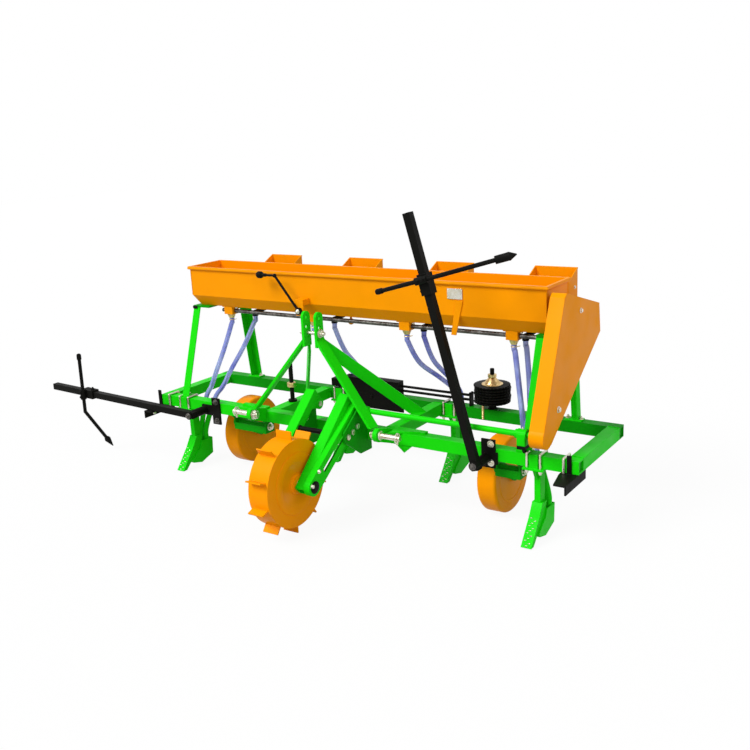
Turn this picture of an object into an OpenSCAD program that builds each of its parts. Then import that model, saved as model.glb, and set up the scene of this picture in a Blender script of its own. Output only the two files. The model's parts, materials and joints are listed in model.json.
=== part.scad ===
// Four-row seed and fertiliser planter, carried on a tractor's three-point hitch.
// +X is the right hand of someone who faces the machine from the tractor, +Y points to
// the rear and +Z up. The floor is at z = 0, and the origin is under the middle of the
// machine's outline. Inside the modules x = 0 and y = 0 are at the middle of the front bar.

/* [Frame] */
// Side of the square frame tube
bar = 50; // [46:1:54]
// Wall of the frame tube
bar_wall = 5; // [3:1:8]
// Length of the front and rear bars
frame_len = 2130; // [2120:5:2160]
// Distance from the front bar's axis to the rear bar's axis
frame_depth = 432; // [425:1:445]
// Height of the frame bars' axis over the floor
bar_height = 325; // [322:1:335]

/* [Hitch] */
// Sideways place of the hitch, measured from the middle of the frame
hitch_x = -80; // [-84:1:-76]
// Distance between the shoulders of the lower link pins
link_span = 683; // [679:1:690]
// Thickness of a hitch lug
lug_t = 20; // [16:1:24]
// Radius of a lower link pin
link_pin_r = 11; // [9:0.5:13]
// Length of a lower link pin outside its lug
link_pin_len = 96; // [90:1:110]
// How far the lower link pins lie in front of the front bar's axis
link_ahead = 110; // [106:1:116]
// Height of the lower link pins over the bars' axis
link_rise = 35; // [30:1:38]
// Height of the upper link hole over the lower link pins
mast_rise = 450; // [445:1:460]
// Radius of the upper link holes
mast_hole_r = 9.75; // [8:0.25:11]
// Gap between the two mast plates
mast_gap = 54; // [50:1:60]
// Thickness of a mast plate and of the legs under it
mast_plate = 12; // [8:1:14]
// Width of a mast plate
mast_w = 48; // [42:1:50]

/* [Hopper] */
// Sideways place of the hopper's middle
hopper_x = -22; // [-26:1:-18]
// Depth of the hopper from front to rear
hopper_w = 205; // [200:1:210]
// Front wall of the hopper behind the front bar's axis
hopper_y = 112; // [110:1:115]
// Height of the hopper's rim over the bars' axis
rim_rise = 635; // [630:1:642]
// Height of the hopper's upright walls
wall_height = 137; // [132:1:142]
// Height of the sloping walls under them
slope_height = 50; // [46:1:54]
// Sheet thickness of the hopper and the seed boxes
sheet = 3; // [2:0.5:4]
// Width of the hopper's folded rim
lip = 9; // [7:1:12]

/* [Rows] */
// Width of a seed box
box_w = 182; // [176:1:190]
// Depth of a seed box
box_depth = 150; // [146:1:154]
// Diameter of a seed plate
plate_d = 90; // [80:1:94]
// Number of cells round a seed plate
plate_cells = 24; // [12:1:28]

/* [Wheels] */
// Radius of the drive wheel over its lugs
drive_r = 213; // [210:1:216]
// Height of a lug
lug_h = 34; // [28:1:40]
// Number of lugs round the drive wheel
lug_count = 10; // [8:1:12]
// Width of the drive wheel
drive_w = 95; // [88:1:98]
// How far the drive wheel's axle lies in front of the front bar's axis
drive_ahead = 385; // [380:1:392]
// Radius of a gauge wheel
gauge_r = 160; // [150:1:165]
// Width of a gauge wheel
gauge_w = 84; // [78:1:86]
// Gauge wheel axles behind the front bar's axis
gauge_behind = 205; // [200:1:212]

/* [Drive] */
// Cross shaft in front of the front bar's axis
shaft_ahead = 60; // [58:1:64]
// Cross shaft over the front bar's axis
shaft_rise = 113; // [108:1:118]
// Radius of the cross shaft
shaft_r = 11.5; // [9:0.5:12]
// Radius of the metering shafts
meter_shaft_r = 9; // [7:0.5:10]
// Radius of a sprocket where the chain lies
sprocket_r = 22; // [19:1:23]
// Thickness of a chain across its plates
chain_t = 8; // [6:1:9]
// Width of a chain
chain_w = 9; // [7:1:10]
// Width of a drive arm
arm_w = 45; // [40:1:46]
// Depth of a drive arm
arm_d = 40; // [36:1:42]

/* [Markers] */
// Length of a row marker's arm from its pivot to its end
marker_len = 970; // [960:5:985]
// Side of the marker arm's square tube
marker_bar = 30; // [26:1:32]
// Lean of the folded right arm from upright
fold_lean = 15.4; // [13:0.2:17]
// Place of the rod's clamp along the arm
clamp_at = 720; // [710:5:730]
// Radius of the marker's rod
rod_r = 8.5; // [7:0.5:9]

/* [Hidden] */
$fn = 48;

// Radial clearance of a running fit, a gap between neighbours, and a touch of air
run_fit = 0.05;
gap = 0.5;
air = 0.3;

// Colours, as the machine is painted
green = [0.07, 0.75, 0.05];
dark_green = [0.05, 0.42, 0.03];
orange = [1.0, 0.62, 0.0];
black = [0.06, 0.06, 0.06];
zinc = [0.75, 0.75, 0.68];
brass = [0.78, 0.62, 0.3];
clear_blue = [0.7, 0.76, 0.9];

// Faces of the frame
half = bar / 2;
end_x = frame_len / 2;
side_x = end_x - half;
top_z = bar_height + half;
low_z = bar_height - half;

// Hitch lugs and lower link pins
pin_y = -link_ahead;
pin_z = bar_height + link_rise;
lug_r = 28;
lug_top = pin_z + lug_r;
lug_x = link_span / 2;
beam_x = lug_x - lug_t - half + 14;
collar_r = 18;
collar_t = 6;
nut_r = 19;
nut_t = 16;
linch_r = 4.5;
linch_back = 14;
linch_len = 46;
ring_wire = 2.5;
gusset_t = 8;
gusset_reach = 144;

// Mast
hole_z = pin_z + mast_rise;
slot_z = hole_z - 42;
mast_y = -65;
mast_in = mast_gap / 2;
mast_out = mast_in + mast_plate;
mast_low = hole_z - 123;
mast_bolt_z = hole_z - 66;
mast_bolt_r = 8;
leg_top_z = hole_z - 84;
brace_w = 50;
brace_t = 10;
brace_foot_y = 270;

// Posts and bearers under the hopper
post_w = 40;
pad_w = 38;
post_t = 4;
pad_h = 11;
bearer_t = 8;
hopper_len = frame_len - 325;
rim_z = bar_height + rim_rise;
fold_z = rim_z - wall_height;
floor_z = fold_z - slope_height;
bearer_low = floor_z - bearer_t;
taper_y = 33;
taper_end = 20;
hopper_x0 = hopper_x - hopper_len / 2;
hopper_x1 = hopper_x + hopper_len / 2;
hopper_y1 = hopper_y + hopper_w;

// Rows
rows = 4;
row_mid = -10;
row_pitch = (frame_len - 330) / 3;
box_pitch = row_pitch - 135;
meter_pitch = row_pitch - 113;
row_x = [for (i = [0:rows - 1]) row_mid + (i - (rows - 1) / 2) * row_pitch];
row_y = [0, frame_depth, frame_depth, 0];
u_step = 27;
u_r = 5;
u_y = half + u_r + air;
u_drop = 22;
post_x = [row_x[0], row_x[3] - 33];
back_x = [row_x[0] + 60, row_x[3] - 24];
pad_x = [post_x[0], post_x[1] - 20];
board_x0 = row_x[1] + 36;
board_x1 = 31;

// Seed boxes, seed plates and meters
box_mid = hopper_x + 90;
box_x = [for (i = [0:rows - 1]) box_mid + (i - (rows - 1) / 2) * box_pitch];
box_y0 = hopper_y1 + lip;
box_y1 = box_y0 + box_depth;
box_low = floor_z + 22;
box_front_z = rim_z - 60;
box_back_z = rim_z + 12;
plate_y = (box_y0 + box_y1) / 2;
front_post_y = hopper_y + 26;
rear_post_y = plate_y - 16;
plate_t = 5;
cell_r = 3;
hub_r = 8;
meter_w = 80;
meter_d = 56;
meter_low = box_low - 45;
seed_z = meter_low + 26;
chute_x = -30;
chute_y = 245;
hose_top = floor_z - 58;
cap_r = 14;
fert_mid = hopper_x + 13;
fert_x = [for (i = [0:rows - 1]) fert_mid + (i - (rows - 1) / 2) * meter_pitch];
fert_y = hopper_y + 56;
fert_z = floor_z - 23;
fert_w = 50;
fert_d = 46;
funnel_h = 20;

// Cross shaft, and the drive arm that turns about it
shaft_y = -shaft_ahead;
shaft_z = bar_height + shaft_rise;
drive_x = -6;
wheel_y = -drive_ahead;
wheel_z = drive_r;
pivot_gap = norm([shaft_y - wheel_y, shaft_z - wheel_z]);
arm_tilt = atan2(shaft_z - wheel_z, shaft_y - wheel_y) + 7.2;
arm_back = 28;
arm_len = pivot_gap + 22;
arm_wall = 4;
arm_side = drive_w / 2 + 16.5;
arm_in = drive_x + arm_side;
arm_out = arm_in + arm_w;
boss_r = 24;
axle_r = 12;
spacer_at = 240;
case_w = 28;
case_in = sprocket_r + chain_t + 3;
case_out = case_in + sheet;
arm_chain_x = arm_out + case_w / 2 + 1;
bracket_x = arm_out + case_w + 5;
bracket_t = 8;
left_bracket_x = drive_x - arm_side - arm_w - 5 - bracket_t;
bolt_r = 8;
setting_holes = [[-100, 55], [-135, 40], [-168, 28]];
sprocket_t = 6;
lug_angles = [for (i = [1:lug_count]) 180 + i * 360 / lug_count];
cleat_t = 3;
lug_inset = 11;
bearing_x = post_x[1] - 11;
bearing_t = 32;
bearing_foot = 11;

// Chain guard at the right end
guard_x0 = hopper_x1 + lip + 13;
guard_w = 58;
guard_r = 44;
seed_chain_x = guard_x0 + 18;
upper_chain_x = guard_x0 + 33;
seed_y = plate_y;

// Tines
shank_w = 25;
shank_y0 = 5;
shank_y1 = 45;
clamp_t = 8;
clamp_w = 36;
base_t = 8;
shank_low = bar_height - 175;
share_w = 43;
tip_y = -102;
tip_z = 5;
share_back = [[-42, 40], [-8, 70], [20, 90], [32, 118]];
boot_w = 56;
boot_y1 = 105;
boot_top = 118;
boot_low = 14;
tube_r = 11;
tube_y = 80;
tube_step = 12.5;

// Gauge wheels
gauge_x = [row_x[0] + 210, row_x[3] - 240];
gauge_pivot = [45, bar_height - 75];
gauge_pin_r = 9;
gauge_arm_t = 8;
gauge_pipe_r = 15;
hang = [[row_x[0] + 270, row_x[0] + 460], [row_x[3] - 180, row_x[3] - 75]];
hang_y = [15, 75];
hang_low = bar_height - 103;
hang_band = 32;
strap_t = 6;

// Markers
marker_y = shaft_y - guard_r - marker_bar / 2 - 3;
marker_pivot = [[row_x[0] + 137, bar_height - 13], [row_x[3] - 193, bar_height - 13]];
left_rise = 1.6;
marker_end = 20;
rod_up = 200;
rod_straight = 92;
rod_back = 120;
rod_fall = 184;
tip_len = 55;
bolt_pin_r = 9;
rest_w = 69;
rest_front_w = 48;
rest_t = 6;
strap_x = [end_x, end_x - 44];
strap_w = 17;
rest_bolt_x = end_x - bar - 7;
spare_r = 80;
spare_count = 7;

// Feed lever
lever_x = -245;
lever_z = fold_z - 23;
lever_y = hopper_y - 46;

// The origin lies under the middle of the machine's outline
left_end = marker_pivot[0][0] - marker_len * cos(left_rise) - marker_bar / 2 * sin(left_rise);
right_end = end_x;
front_end = wheel_y - max([for (a = lug_angles) drive_r * sin(a) + cleat_t * abs(cos(a))]);
rear_end = frame_depth + boot_y1;
origin = [(left_end + right_end) / 2, (front_end + rear_end) / 2, 0];

// Helper shapes
module block(x, y, z) {
    translate([x[0], y[0], z[0]])
        cube([x[1] - x[0], y[1] - y[0], z[1] - z[0]]);
}

module rod_x(x0, x1, y, z, r) {
    translate([x0, y, z])
        rotate([0, 90, 0])
            cylinder(h = x1 - x0, r = r);
}

module rod_y(x, y0, y1, z, r) {
    translate([x, y0, z])
        rotate([-90, 0, 0])
            cylinder(h = y1 - y0, r = r);
}

module rod_z(x, y, z0, z1, r) {
    translate([x, y, z0])
        cylinder(h = z1 - z0, r = r);
}

// A plate from x0 to x1 whose outline gives [y, z]
module side_plate(points, x0, x1) {
    translate([x0, 0, 0])
        rotate([90, 0, 90])
            linear_extrude(x1 - x0)
                polygon(points);
}

// A plate from y0 to y1 whose outline gives [x, z]
module face_plate(points, y0, y1) {
    translate([0, y1, 0])
        rotate([90, 0, 0])
            linear_extrude(y1 - y0)
                polygon(points);
}

// Moves to p and turns +Z towards q
module along(p, q) {
    d = q - p;
    translate(p)
        rotate([0, acos(d[2] / norm(d)), atan2(d[1], d[0])])
            children();
}

// A flat bar from p to q. Its width lies level, or upright with a roll of 90 degrees
module flat_bar(p, q, w, t, roll = 0) {
    along(p, q)
        rotate([0, 0, roll])
            translate([-t / 2, -w / 2, 0])
                cube([t, w, norm(q - p)]);
}

module round_bar(p, q, r) {
    along(p, q)
        cylinder(h = norm(q - p), r = r);
}

module tube_x(x0, x1, y, z) {
    difference() {
        block([x0, x1], [y - half, y + half], [z - half, z + half]);
        block([x0 - 1, x1 + 1], [y - half + bar_wall, y + half - bar_wall],
            [z - half + bar_wall, z + half - bar_wall]);
    }
}

module tube_y(x, y0, y1, z) {
    difference() {
        block([x - half, x + half], [y0, y1], [z - half, z + half]);
        block([x - half + bar_wall, x + half - bar_wall], [y0 - 1, y1 + 1],
            [z - half + bar_wall, z + half - bar_wall]);
    }
}

// A hexagon along X from x0 to x1
module hex_x(x0, x1, y, z, r) {
    translate([x0, y, z])
        rotate([0, 90, 0])
            cylinder(h = x1 - x0, r = r, $fn = 6);
}

module hex_y(x, y0, y1, z, r) {
    translate([x, y0, z])
        rotate([-90, 0, 0])
            cylinder(h = y1 - y0, r = r, $fn = 6);
}

// The same piece to the left and right of x
module both_sides(x) {
    translate([x, 0, 0])
        children();
    translate([x, 0, 0])
        mirror([1, 0, 0])
            children();
}

// A stadium round the points a and b, given as [y, z], from x0 to x1
module stadium(a, b, r, x0, x1) {
    translate([x0, 0, 0])
        rotate([90, 0, 90])
            linear_extrude(x1 - x0)
                hull()
                    for (c = [a, b])
                        translate(c)
                            circle(r, $fn = 36);
}

// A closed chain round two sprockets at a and b
module chain_loop(x, a, b) {
    difference() {
        stadium(a, b, sprocket_r + gap + chain_t, x - chain_w / 2, x + chain_w / 2);
        stadium(a, b, sprocket_r + gap, x - chain_w, x + chain_w);
    }
}

module sprocket(x, y, z) {
    rod_x(x - sprocket_t / 2, x + sprocket_t / 2, y, z, sprocket_r);
    rod_x(x - sprocket_t, x + sprocket_t, y, z, sprocket_r * 0.7);
}

// Frame
module front_bar() {
    color(green)
        tube_x(-end_x, end_x, 0, bar_height);
}

module rear_bar() {
    color(dark_green)
        tube_x(-end_x, end_x, frame_depth, bar_height);
}

module side_bars() {
    color(green)
        for (x = [-side_x, side_x])
            tube_y(x, half, frame_depth - half, bar_height);
}

module inner_beam(x) {
    color(green)
        tube_y(x, half, frame_depth - half, bar_height);
}

// Hitch
module lug_blank() {
    translate([lug_x - lug_t, 0, 0]) {
        rod_x(0, lug_t, pin_y, pin_z, lug_r);
        side_plate([[-half, low_z], [pin_y, pin_z - lug_r], [pin_y, lug_top],
            [-half, top_z + 15]], 0, lug_t);
    }
}

module hitch_lugs() {
    color(green)
        both_sides(hitch_x)
            difference() {
                lug_blank();
                rod_x(lug_x - 2 * lug_t, lug_x + lug_t, pin_y, pin_z, link_pin_r + run_fit);
            }
}

module hitch_gussets() {
    x0 = lug_x;
    x1 = lug_x + gusset_reach;
    y0 = pin_y + collar_r + 8;
    hollow = [x1, y0 - 80];
    color(green) {
        both_sides(hitch_x)
            difference() {
                block([x0, x1], [y0, half], [top_z, top_z + gusset_t]);
                rod_z(hollow[0], hollow[1], top_z - 1, top_z + gusset_t + 1,
                    norm([gusset_reach, 80]));
            }
        translate([hitch_x, 0, 0])
            face_plate([[x0 + 15, low_z], [x0 + 95, low_z], [x0 + 55, low_z - 34]],
                -half + 4, -half + 12);
    }
}

module mast_plate_blank() {
    translate([mast_in, 0, 0]) {
        rod_x(0, mast_plate, mast_y, hole_z, mast_w / 2);
        block([0, mast_plate], [mast_y - mast_w / 2, mast_y + mast_w / 2], [mast_low, hole_z]);
    }
}

module mast_plates() {
    color(green)
        both_sides(hitch_x)
            difference() {
                mast_plate_blank();
                rod_x(0, mast_out + 1, mast_y, hole_z, mast_hole_r);
                rod_x(0, mast_out + 1, mast_y, slot_z, mast_hole_r);
                rod_x(0, mast_out + 1, mast_y, mast_bolt_z, mast_bolt_r + run_fit);
            }
}

module mast_leg_blank() {
    difference() {
        flat_bar([mast_in, mast_y, leg_top_z], [lug_x - lug_t / 2, pin_y, pin_z],
            mast_w, mast_plate);
        block([-mast_out, mast_out], [-300, 300], [0, 2 * rim_z]);
        block([0, 2 * lug_x], [-300, 300], [0, lug_top]);
    }
}

module mast_legs() {
    color(green)
        both_sides(hitch_x)
            mast_leg_blank();
}

module mast_braces() {
    color(green)
        both_sides(hitch_x)
            difference() {
                flat_bar([mast_in, mast_y + 10, leg_top_z - 25],
                    [beam_x + 12, brace_foot_y, bar_height], brace_w, brace_t, 90);
                block([-mast_out, 2 * lug_x], [-300, mast_y + mast_w / 2], [0, 2 * rim_z]);
                block([0, 2 * lug_x], [-300, 600], [0, top_z]);
            }
}

module mast_bolt() {
    color(zinc)
        translate([hitch_x, 0, 0]) {
            rod_x(-mast_out - 22, mast_out + 22, mast_y, mast_bolt_z, mast_bolt_r);
            hex_x(-mast_out - 12, -mast_out, mast_y, mast_bolt_z, 14);
            hex_x(mast_out, mast_out + 12, mast_y, mast_bolt_z, 14);
        }
}

module lower_link_pins() {
    inner = lug_x - lug_t;
    linch_x = lug_x + link_pin_len - linch_back;
    color(zinc)
        both_sides(hitch_x)
            difference() {
                union() {
                    rod_x(inner - nut_t - 8, lug_x + link_pin_len, pin_y, pin_z, link_pin_r);
                    rod_x(lug_x, lug_x + collar_t, pin_y, pin_z, collar_r);
                    hex_x(inner - nut_t, inner, pin_y, pin_z, nut_r);
                }
                rod_z(linch_x, pin_y, pin_z - 2 * link_pin_r, pin_z + 2 * link_pin_r,
                    linch_r + run_fit);
            }
}

module linch_pins() {
    linch_x = lug_x + link_pin_len - linch_back;
    ring_r = link_pin_r + 8;
    color(zinc)
        both_sides(hitch_x)
            translate([linch_x, pin_y, pin_z]) {
                rod_z(0, 0, ring_r - linch_len, ring_r + 2, linch_r);
                rotate([0, 90, 0])
                    rotate_extrude()
                        translate([ring_r, 0])
                            circle(ring_wire, $fn = 16);
            }
}

// Hopper and what carries it
module angle_post(p, q, side) {
    intersection() {
        along(p, q)
            mirror([0, side, 0])
                for (size = [[post_t, post_w], [post_w, post_t]])
                    translate([-post_w / 2, -post_w / 2, -post_w])
                        cube([size[0], size[1], norm(q - p) + 2 * post_w]);
        block([p[0] - post_w, p[0] + post_w], [-200, 600], [p[2], q[2]]);
    }
}

module hopper_posts() {
    color(green)
        for (i = [0, 1]) {
            angle_post([post_x[i], 5, top_z + pad_h], [post_x[i], front_post_y, bearer_low], 1);
            block([pad_x[i] - pad_w / 2, pad_x[i] + pad_w / 2], [-15, half],
                [top_z, top_z + pad_h]);
            angle_post([back_x[i], frame_depth, top_z], [back_x[i], rear_post_y, bearer_low], i);
        }
}

module hopper_bearers() {
    color(dark_green)
        for (i = [0, 1]) {
            block([min(post_x[i], back_x[i]) - post_w / 2, max(post_x[i], back_x[i]) + post_w / 2],
                [front_post_y - 24, rear_post_y + 3], [bearer_low, floor_z]);
            side_plate([[330, bearer_low - 45], [360, bearer_low - 45], [360, bearer_low],
                [260, bearer_low]], back_x[i] - post_t / 2, back_x[i] + post_t / 2);
        }
}

// The trough's outer shape, drawn in by t on every wall and cut off at z
module trough(t, z) {
    intersection() {
        side_plate([[hopper_y + t, z], [hopper_y + t, fold_z], [hopper_y + taper_y + t, floor_z + t],
            [hopper_y1 - taper_y + 8 - t, floor_z + t], [hopper_y1 - t, fold_z], [hopper_y1 - t, z]],
            hopper_x0 - 1, hopper_x1 + 1);
        face_plate([[hopper_x0 + t, z], [hopper_x0 + t, fold_z],
            [hopper_x0 + taper_end + t, floor_z + t], [hopper_x1 - taper_end - t, floor_z + t],
            [hopper_x1 - t, fold_z], [hopper_x1 - t, z]], hopper_y - 1, hopper_y1 + 1);
    }
}

module hopper() {
    color(orange)
        difference() {
            union() {
                trough(0, rim_z);
                block([hopper_x0 - lip, hopper_x1 + lip], [hopper_y - lip, hopper_y1 + lip],
                    [rim_z - 12, rim_z]);
            }
            trough(sheet, rim_z + 1);
            for (x = fert_x)
                rod_z(x, fert_y, floor_z - 1, floor_z + sheet + 1, 14);
        }
}

module hopper_fittings() {
    front = hopper_y;
    color(orange) {
        face_plate([[478, floor_z - 28], [500, floor_z - 28], [533, fold_z + 62], [502, fold_z + 62]],
            front - 4, front);
        block([lever_x - 20, lever_x + 20], [lever_y, front], [fold_z, fold_z + 26]);
        difference() {
            block([lever_x - 20, lever_x + 20], [lever_y, lever_y + 6], [lever_z - 22, fold_z]);
            rod_y(lever_x, lever_y - 1, lever_y + 7, lever_z, 6 + run_fit);
        }
        block([hopper_x1, guard_x0 + guard_w - sheet], [235, 260], [fold_z + 10, fold_z + 35]);
    }
    color(zinc)
        block([465, 530], [front - 2, front], [fold_z + 67, fold_z + 107]);
    color(black) {
        rod_z(-79, front + 100, floor_z - 24, floor_z, 5);
        translate([-79, front + 100, floor_z - 36])
            sphere(14);
    }
}

module seed_box(x) {
    outline = [[box_y0, box_low], [box_y0, box_front_z], [box_y1, box_back_z], [box_y1, box_low]];
    block([x - 60, x + 60], [hopper_y1, box_y0], [box_front_z - 30, box_front_z - 5]);
    difference() {
        side_plate(outline, x - box_w / 2, x + box_w / 2);
        side_plate([[box_y0 + sheet, box_low + sheet], [box_y0 + sheet, box_back_z + 1],
            [box_y1 - sheet, box_back_z + 1], [box_y1 - sheet, box_low + sheet]],
            x - box_w / 2 + sheet, x + box_w / 2 - sheet);
        rod_z(x, plate_y, box_low - 1, box_low + sheet + 1, hub_r + run_fit);
        rod_z(x + plate_d / 2 - 8, plate_y, box_low - 1, box_low + sheet + 1, 5);
    }
}

module seed_boxes() {
    color(orange)
        for (x = box_x)
            seed_box(x);
}

// The seed meter's housing under a box, with its chute that leads forward to the hose
module seed_meter(x) {
    knee = [x + chute_x, chute_y, hose_top + 16];
    difference() {
        union() {
            block([x - meter_w / 2, x + meter_w / 2],
                [plate_y - meter_d / 2, plate_y + meter_d / 2], [meter_low, box_low]);
            round_bar([x, plate_y - meter_d / 2 + 12, meter_low + 10], knee, cap_r - 2);
            translate(knee)
                sphere(cap_r - 1);
            rod_z(knee[0], knee[1], hose_top, knee[2], cap_r);
        }
        rod_x(x - meter_w, x + meter_w, seed_y, seed_z, meter_shaft_r + run_fit);
        rod_z(x, plate_y, box_low - 11, box_low + 1, hub_r + run_fit);
    }
}

module seed_meters() {
    color(black)
        for (x = box_x)
            seed_meter(x);
}

module seed_plate(x) {
    z = box_low + sheet + gap;
    color(black)
        difference() {
            union() {
                rod_z(x, plate_y, z, z + plate_t, plate_d / 2);
                rod_z(x, plate_y, box_low - 10, z + plate_t + 6, hub_r);
            }
            for (i = [1:plate_cells])
                translate([x, plate_y, z - 1])
                    rotate([0, 0, i * 360 / plate_cells])
                        translate([plate_d / 2 - 6, 0, 0])
                            cylinder(h = plate_t + 2, r = cell_r);
        }
}

module fertiliser_meters() {
    color(orange)
        for (x = fert_x)
            difference() {
                block([x - fert_w / 2, x + fert_w / 2], [fert_y - fert_d / 2 + 2, fert_y + fert_d / 2],
                    [hose_top + funnel_h, floor_z]);
                rod_x(x - fert_w, x + fert_w, fert_y, fert_z, meter_shaft_r + run_fit);
            }
}

module fertiliser_funnels() {
    color(brass)
        for (x = fert_x)
            translate([x, fert_y, hose_top])
                cylinder(h = funnel_h, r1 = tube_r + 1, r2 = 21);
}

module fertiliser_shaft() {
    color(zinc) {
        rod_x(fert_x[0] - fert_w, upper_chain_x + 8, fert_y, fert_z, meter_shaft_r);
        sprocket(upper_chain_x, fert_y, fert_z);
        sprocket(seed_chain_x, fert_y, fert_z);
    }
}

module seed_shaft() {
    color(zinc) {
        rod_x(box_x[0] - meter_w / 2 - 15, seed_chain_x + 8, seed_y, seed_z, meter_shaft_r);
        sprocket(seed_chain_x, seed_y, seed_z);
    }
}

// Drive
module cross_shaft() {
    color(green)
        rod_x(arm_in - 4, upper_chain_x + 8, shaft_y, shaft_z, shaft_r);
    color(zinc) {
        sprocket(upper_chain_x, shaft_y, shaft_z);
        sprocket(arm_chain_x, shaft_y, shaft_z);
    }
}

module shaft_bearing() {
    color(black)
        difference() {
            union() {
                rod_x(bearing_x, bearing_x + bearing_t, shaft_y, shaft_z, 20);
                block([bearing_x, bearing_x + bearing_t], [shaft_y - 20, shaft_y + 20],
                    [shaft_z - 54, shaft_z]);
                side_plate([[-half, top_z], [-half + 8, top_z], [shaft_y + 20, shaft_z],
                    [shaft_y - 10, shaft_z - 30]], bearing_x, bearing_x + bearing_foot);
            }
            rod_x(bearing_x - 1, bearing_x + bearing_t + 1, shaft_y, shaft_z, shaft_r + run_fit);
        }
}

module guard_shape(t, x0, x1) {
    rod_x(x0, x1, shaft_y, shaft_z, guard_r - t);
    side_plate([[shaft_y - guard_r + 3 + t, shaft_z + 10], [hopper_y - 20 + t, rim_z - 36 - t],
        [hopper_y + t, rim_z - 22 - t], [hopper_y1 + 126 - t, rim_z - 116 - t],
        [hopper_y1 + 141 - t, rim_z - 230 + t],
        [shaft_y + 26, shaft_z - guard_r + 9 + t]], x0, x1);
}

module chain_guard() {
    color(orange)
        difference() {
            guard_shape(0, guard_x0, guard_x0 + guard_w);
            guard_shape(sheet, guard_x0 - 1, guard_x0 + guard_w - sheet);
        }
}

module upper_chain() {
    color(black)
        chain_loop(upper_chain_x, [shaft_y, shaft_z], [fert_y, fert_z]);
}

module seed_chain() {
    color(black)
        chain_loop(seed_chain_x, [fert_y, fert_z], [seed_y, seed_z]);
}

module bracket_plate(x, bore) {
    difference() {
        union() {
            rod_x(x, x + bracket_t, shaft_y, shaft_z, boss_r + 2);
            side_plate([[-half, shaft_z - 8], [shaft_y + 20, shaft_z + 16],
                [shaft_y - 20, shaft_z + 16], [-190, bar_height + 50], [-190, bar_height + 12],
                [-80, bar_height - 70], [0, bar_height - 72], [0, low_z], [-half, low_z]],
                x, x + bracket_t);
        }
        rod_x(x - 1, x + bracket_t + 1, shaft_y, shaft_z, bore);
        for (p = setting_holes)
            rod_x(x - 1, x + bracket_t + 1, p[0], bar_height + p[1], bolt_r + run_fit);
    }
}

module drive_brackets() {
    color(dark_green) {
        bracket_plate(bracket_x, shaft_r + run_fit);
        bracket_plate(left_bracket_x, shaft_r + run_fit);
    }
}

// The left arm's stub bolt and the bolts in the setting holes
module bracket_bolts() {
    color(zinc) {
        rod_x(left_bracket_x - 14, drive_x - arm_side + 4, shaft_y, shaft_z, shaft_r);
        hex_x(left_bracket_x - 12, left_bracket_x, shaft_y, shaft_z, 19);
        for (x = [bracket_x, left_bracket_x])
            for (p = setting_holes) {
                rod_x(x - 3, x + bracket_t + 8, p[0], bar_height + p[1], bolt_r);
                hex_x(x + bracket_t, x + bracket_t + 7, p[0], bar_height + p[1], 13);
            }
    }
}

// Moves to the drive wheel's axle with +Y running up the arm
module on_arm() {
    translate([0, wheel_y, wheel_z])
        rotate([arm_tilt, 0, 0])
            children();
}

// One arm, from its inner face at x = 0 to its outer face
module drive_arm() {
    difference() {
        union() {
            on_arm()
                difference() {
                    block([0, arm_w], [-arm_back, arm_len], [-arm_d / 2, arm_d / 2]);
                    block([arm_wall, arm_w - arm_wall], [-arm_back - 1, arm_len + 1],
                        [-arm_d / 2 + arm_wall, arm_d / 2 - arm_wall]);
                }
            rod_x(0, arm_w, shaft_y, shaft_z, boss_r);
            difference() {
                hull() {
                    rod_x(1, arm_w - 1, shaft_y, shaft_z, boss_r - 1);
                    on_arm()
                        block([1, arm_w - 1], [arm_len - 70, arm_len - 2], [-arm_d / 2 + 1, -arm_d / 2 + 2]);
                }
                on_arm()
                    block([-1, arm_w + 1], [-arm_back, arm_len + 30], [-arm_d / 2 + arm_wall, 2 * arm_d]);
            }
        }
        rod_x(-1, arm_w + 1, shaft_y, shaft_z, shaft_r + run_fit);
        rod_x(-1, arm_w + 1, wheel_y, wheel_z, axle_r + run_fit);
    }
}

module drive_arms() {
    color(green)
        both_sides(drive_x)
            translate([arm_side, 0, 0])
                drive_arm();
    color(black)
        on_arm()
            rod_x(drive_x - arm_side, drive_x + arm_side, spacer_at, 0, 8);
}

module arm_chain_guard() {
    a = [wheel_y, wheel_z];
    b = [shaft_y, shaft_z];
    color(green)
        difference() {
            stadium(a, b, case_out, arm_out, arm_out + case_w);
            stadium(a, b, case_in, arm_out - 1, arm_out + case_w - sheet);
            stadium(a + 0.22 * (b - a), a + 0.8 * (b - a), 9, arm_out, arm_out + 2 * case_w);
            rod_x(arm_out, arm_out + 2 * case_w, shaft_y, shaft_z, shaft_r + 3);
        }
}

module arm_chain() {
    color(black)
        chain_loop(arm_chain_x, [wheel_y, wheel_z], [shaft_y, shaft_z]);
}

module drive_wheel() {
    rim = drive_r - lug_h;
    color(orange)
        translate([drive_x, wheel_y, wheel_z]) {
            difference() {
                rod_x(-drive_w / 2, drive_w / 2, 0, 0, rim);
                rod_x(-drive_w / 2 + 4, drive_w / 2 - 4, 0, 0, rim - 4);
                rod_x(-drive_w, drive_w, 0, 0, axle_r + run_fit);
            }
            for (a = lug_angles)
                rotate([a, 0, 0])
                    block([lug_inset - drive_w / 2, drive_w / 2 - lug_inset], [-cleat_t, cleat_t],
                        [rim - 2, drive_r]);
            for (s = [-1, 1])
                difference() {
                    translate([s * (drive_w / 2 + 6), 0, 0])
                        rod_x(-6, 6, 0, 0, 34);
                    rod_x(-drive_w, drive_w, 0, 0, axle_r + run_fit);
                }
        }
}

module drive_axle() {
    color(zinc) {
        rod_x(drive_x - arm_side - arm_w - 6, arm_chain_x + 8, wheel_y, wheel_z, axle_r);
        sprocket(arm_chain_x, wheel_y, wheel_z);
    }
}

// Tines
module u_leg(x, y, r) {
    for (s = [-1, 1])
        rod_z(x, y + s * u_y, low_z - u_drop, top_z + u_r + air, r);
}

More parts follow.
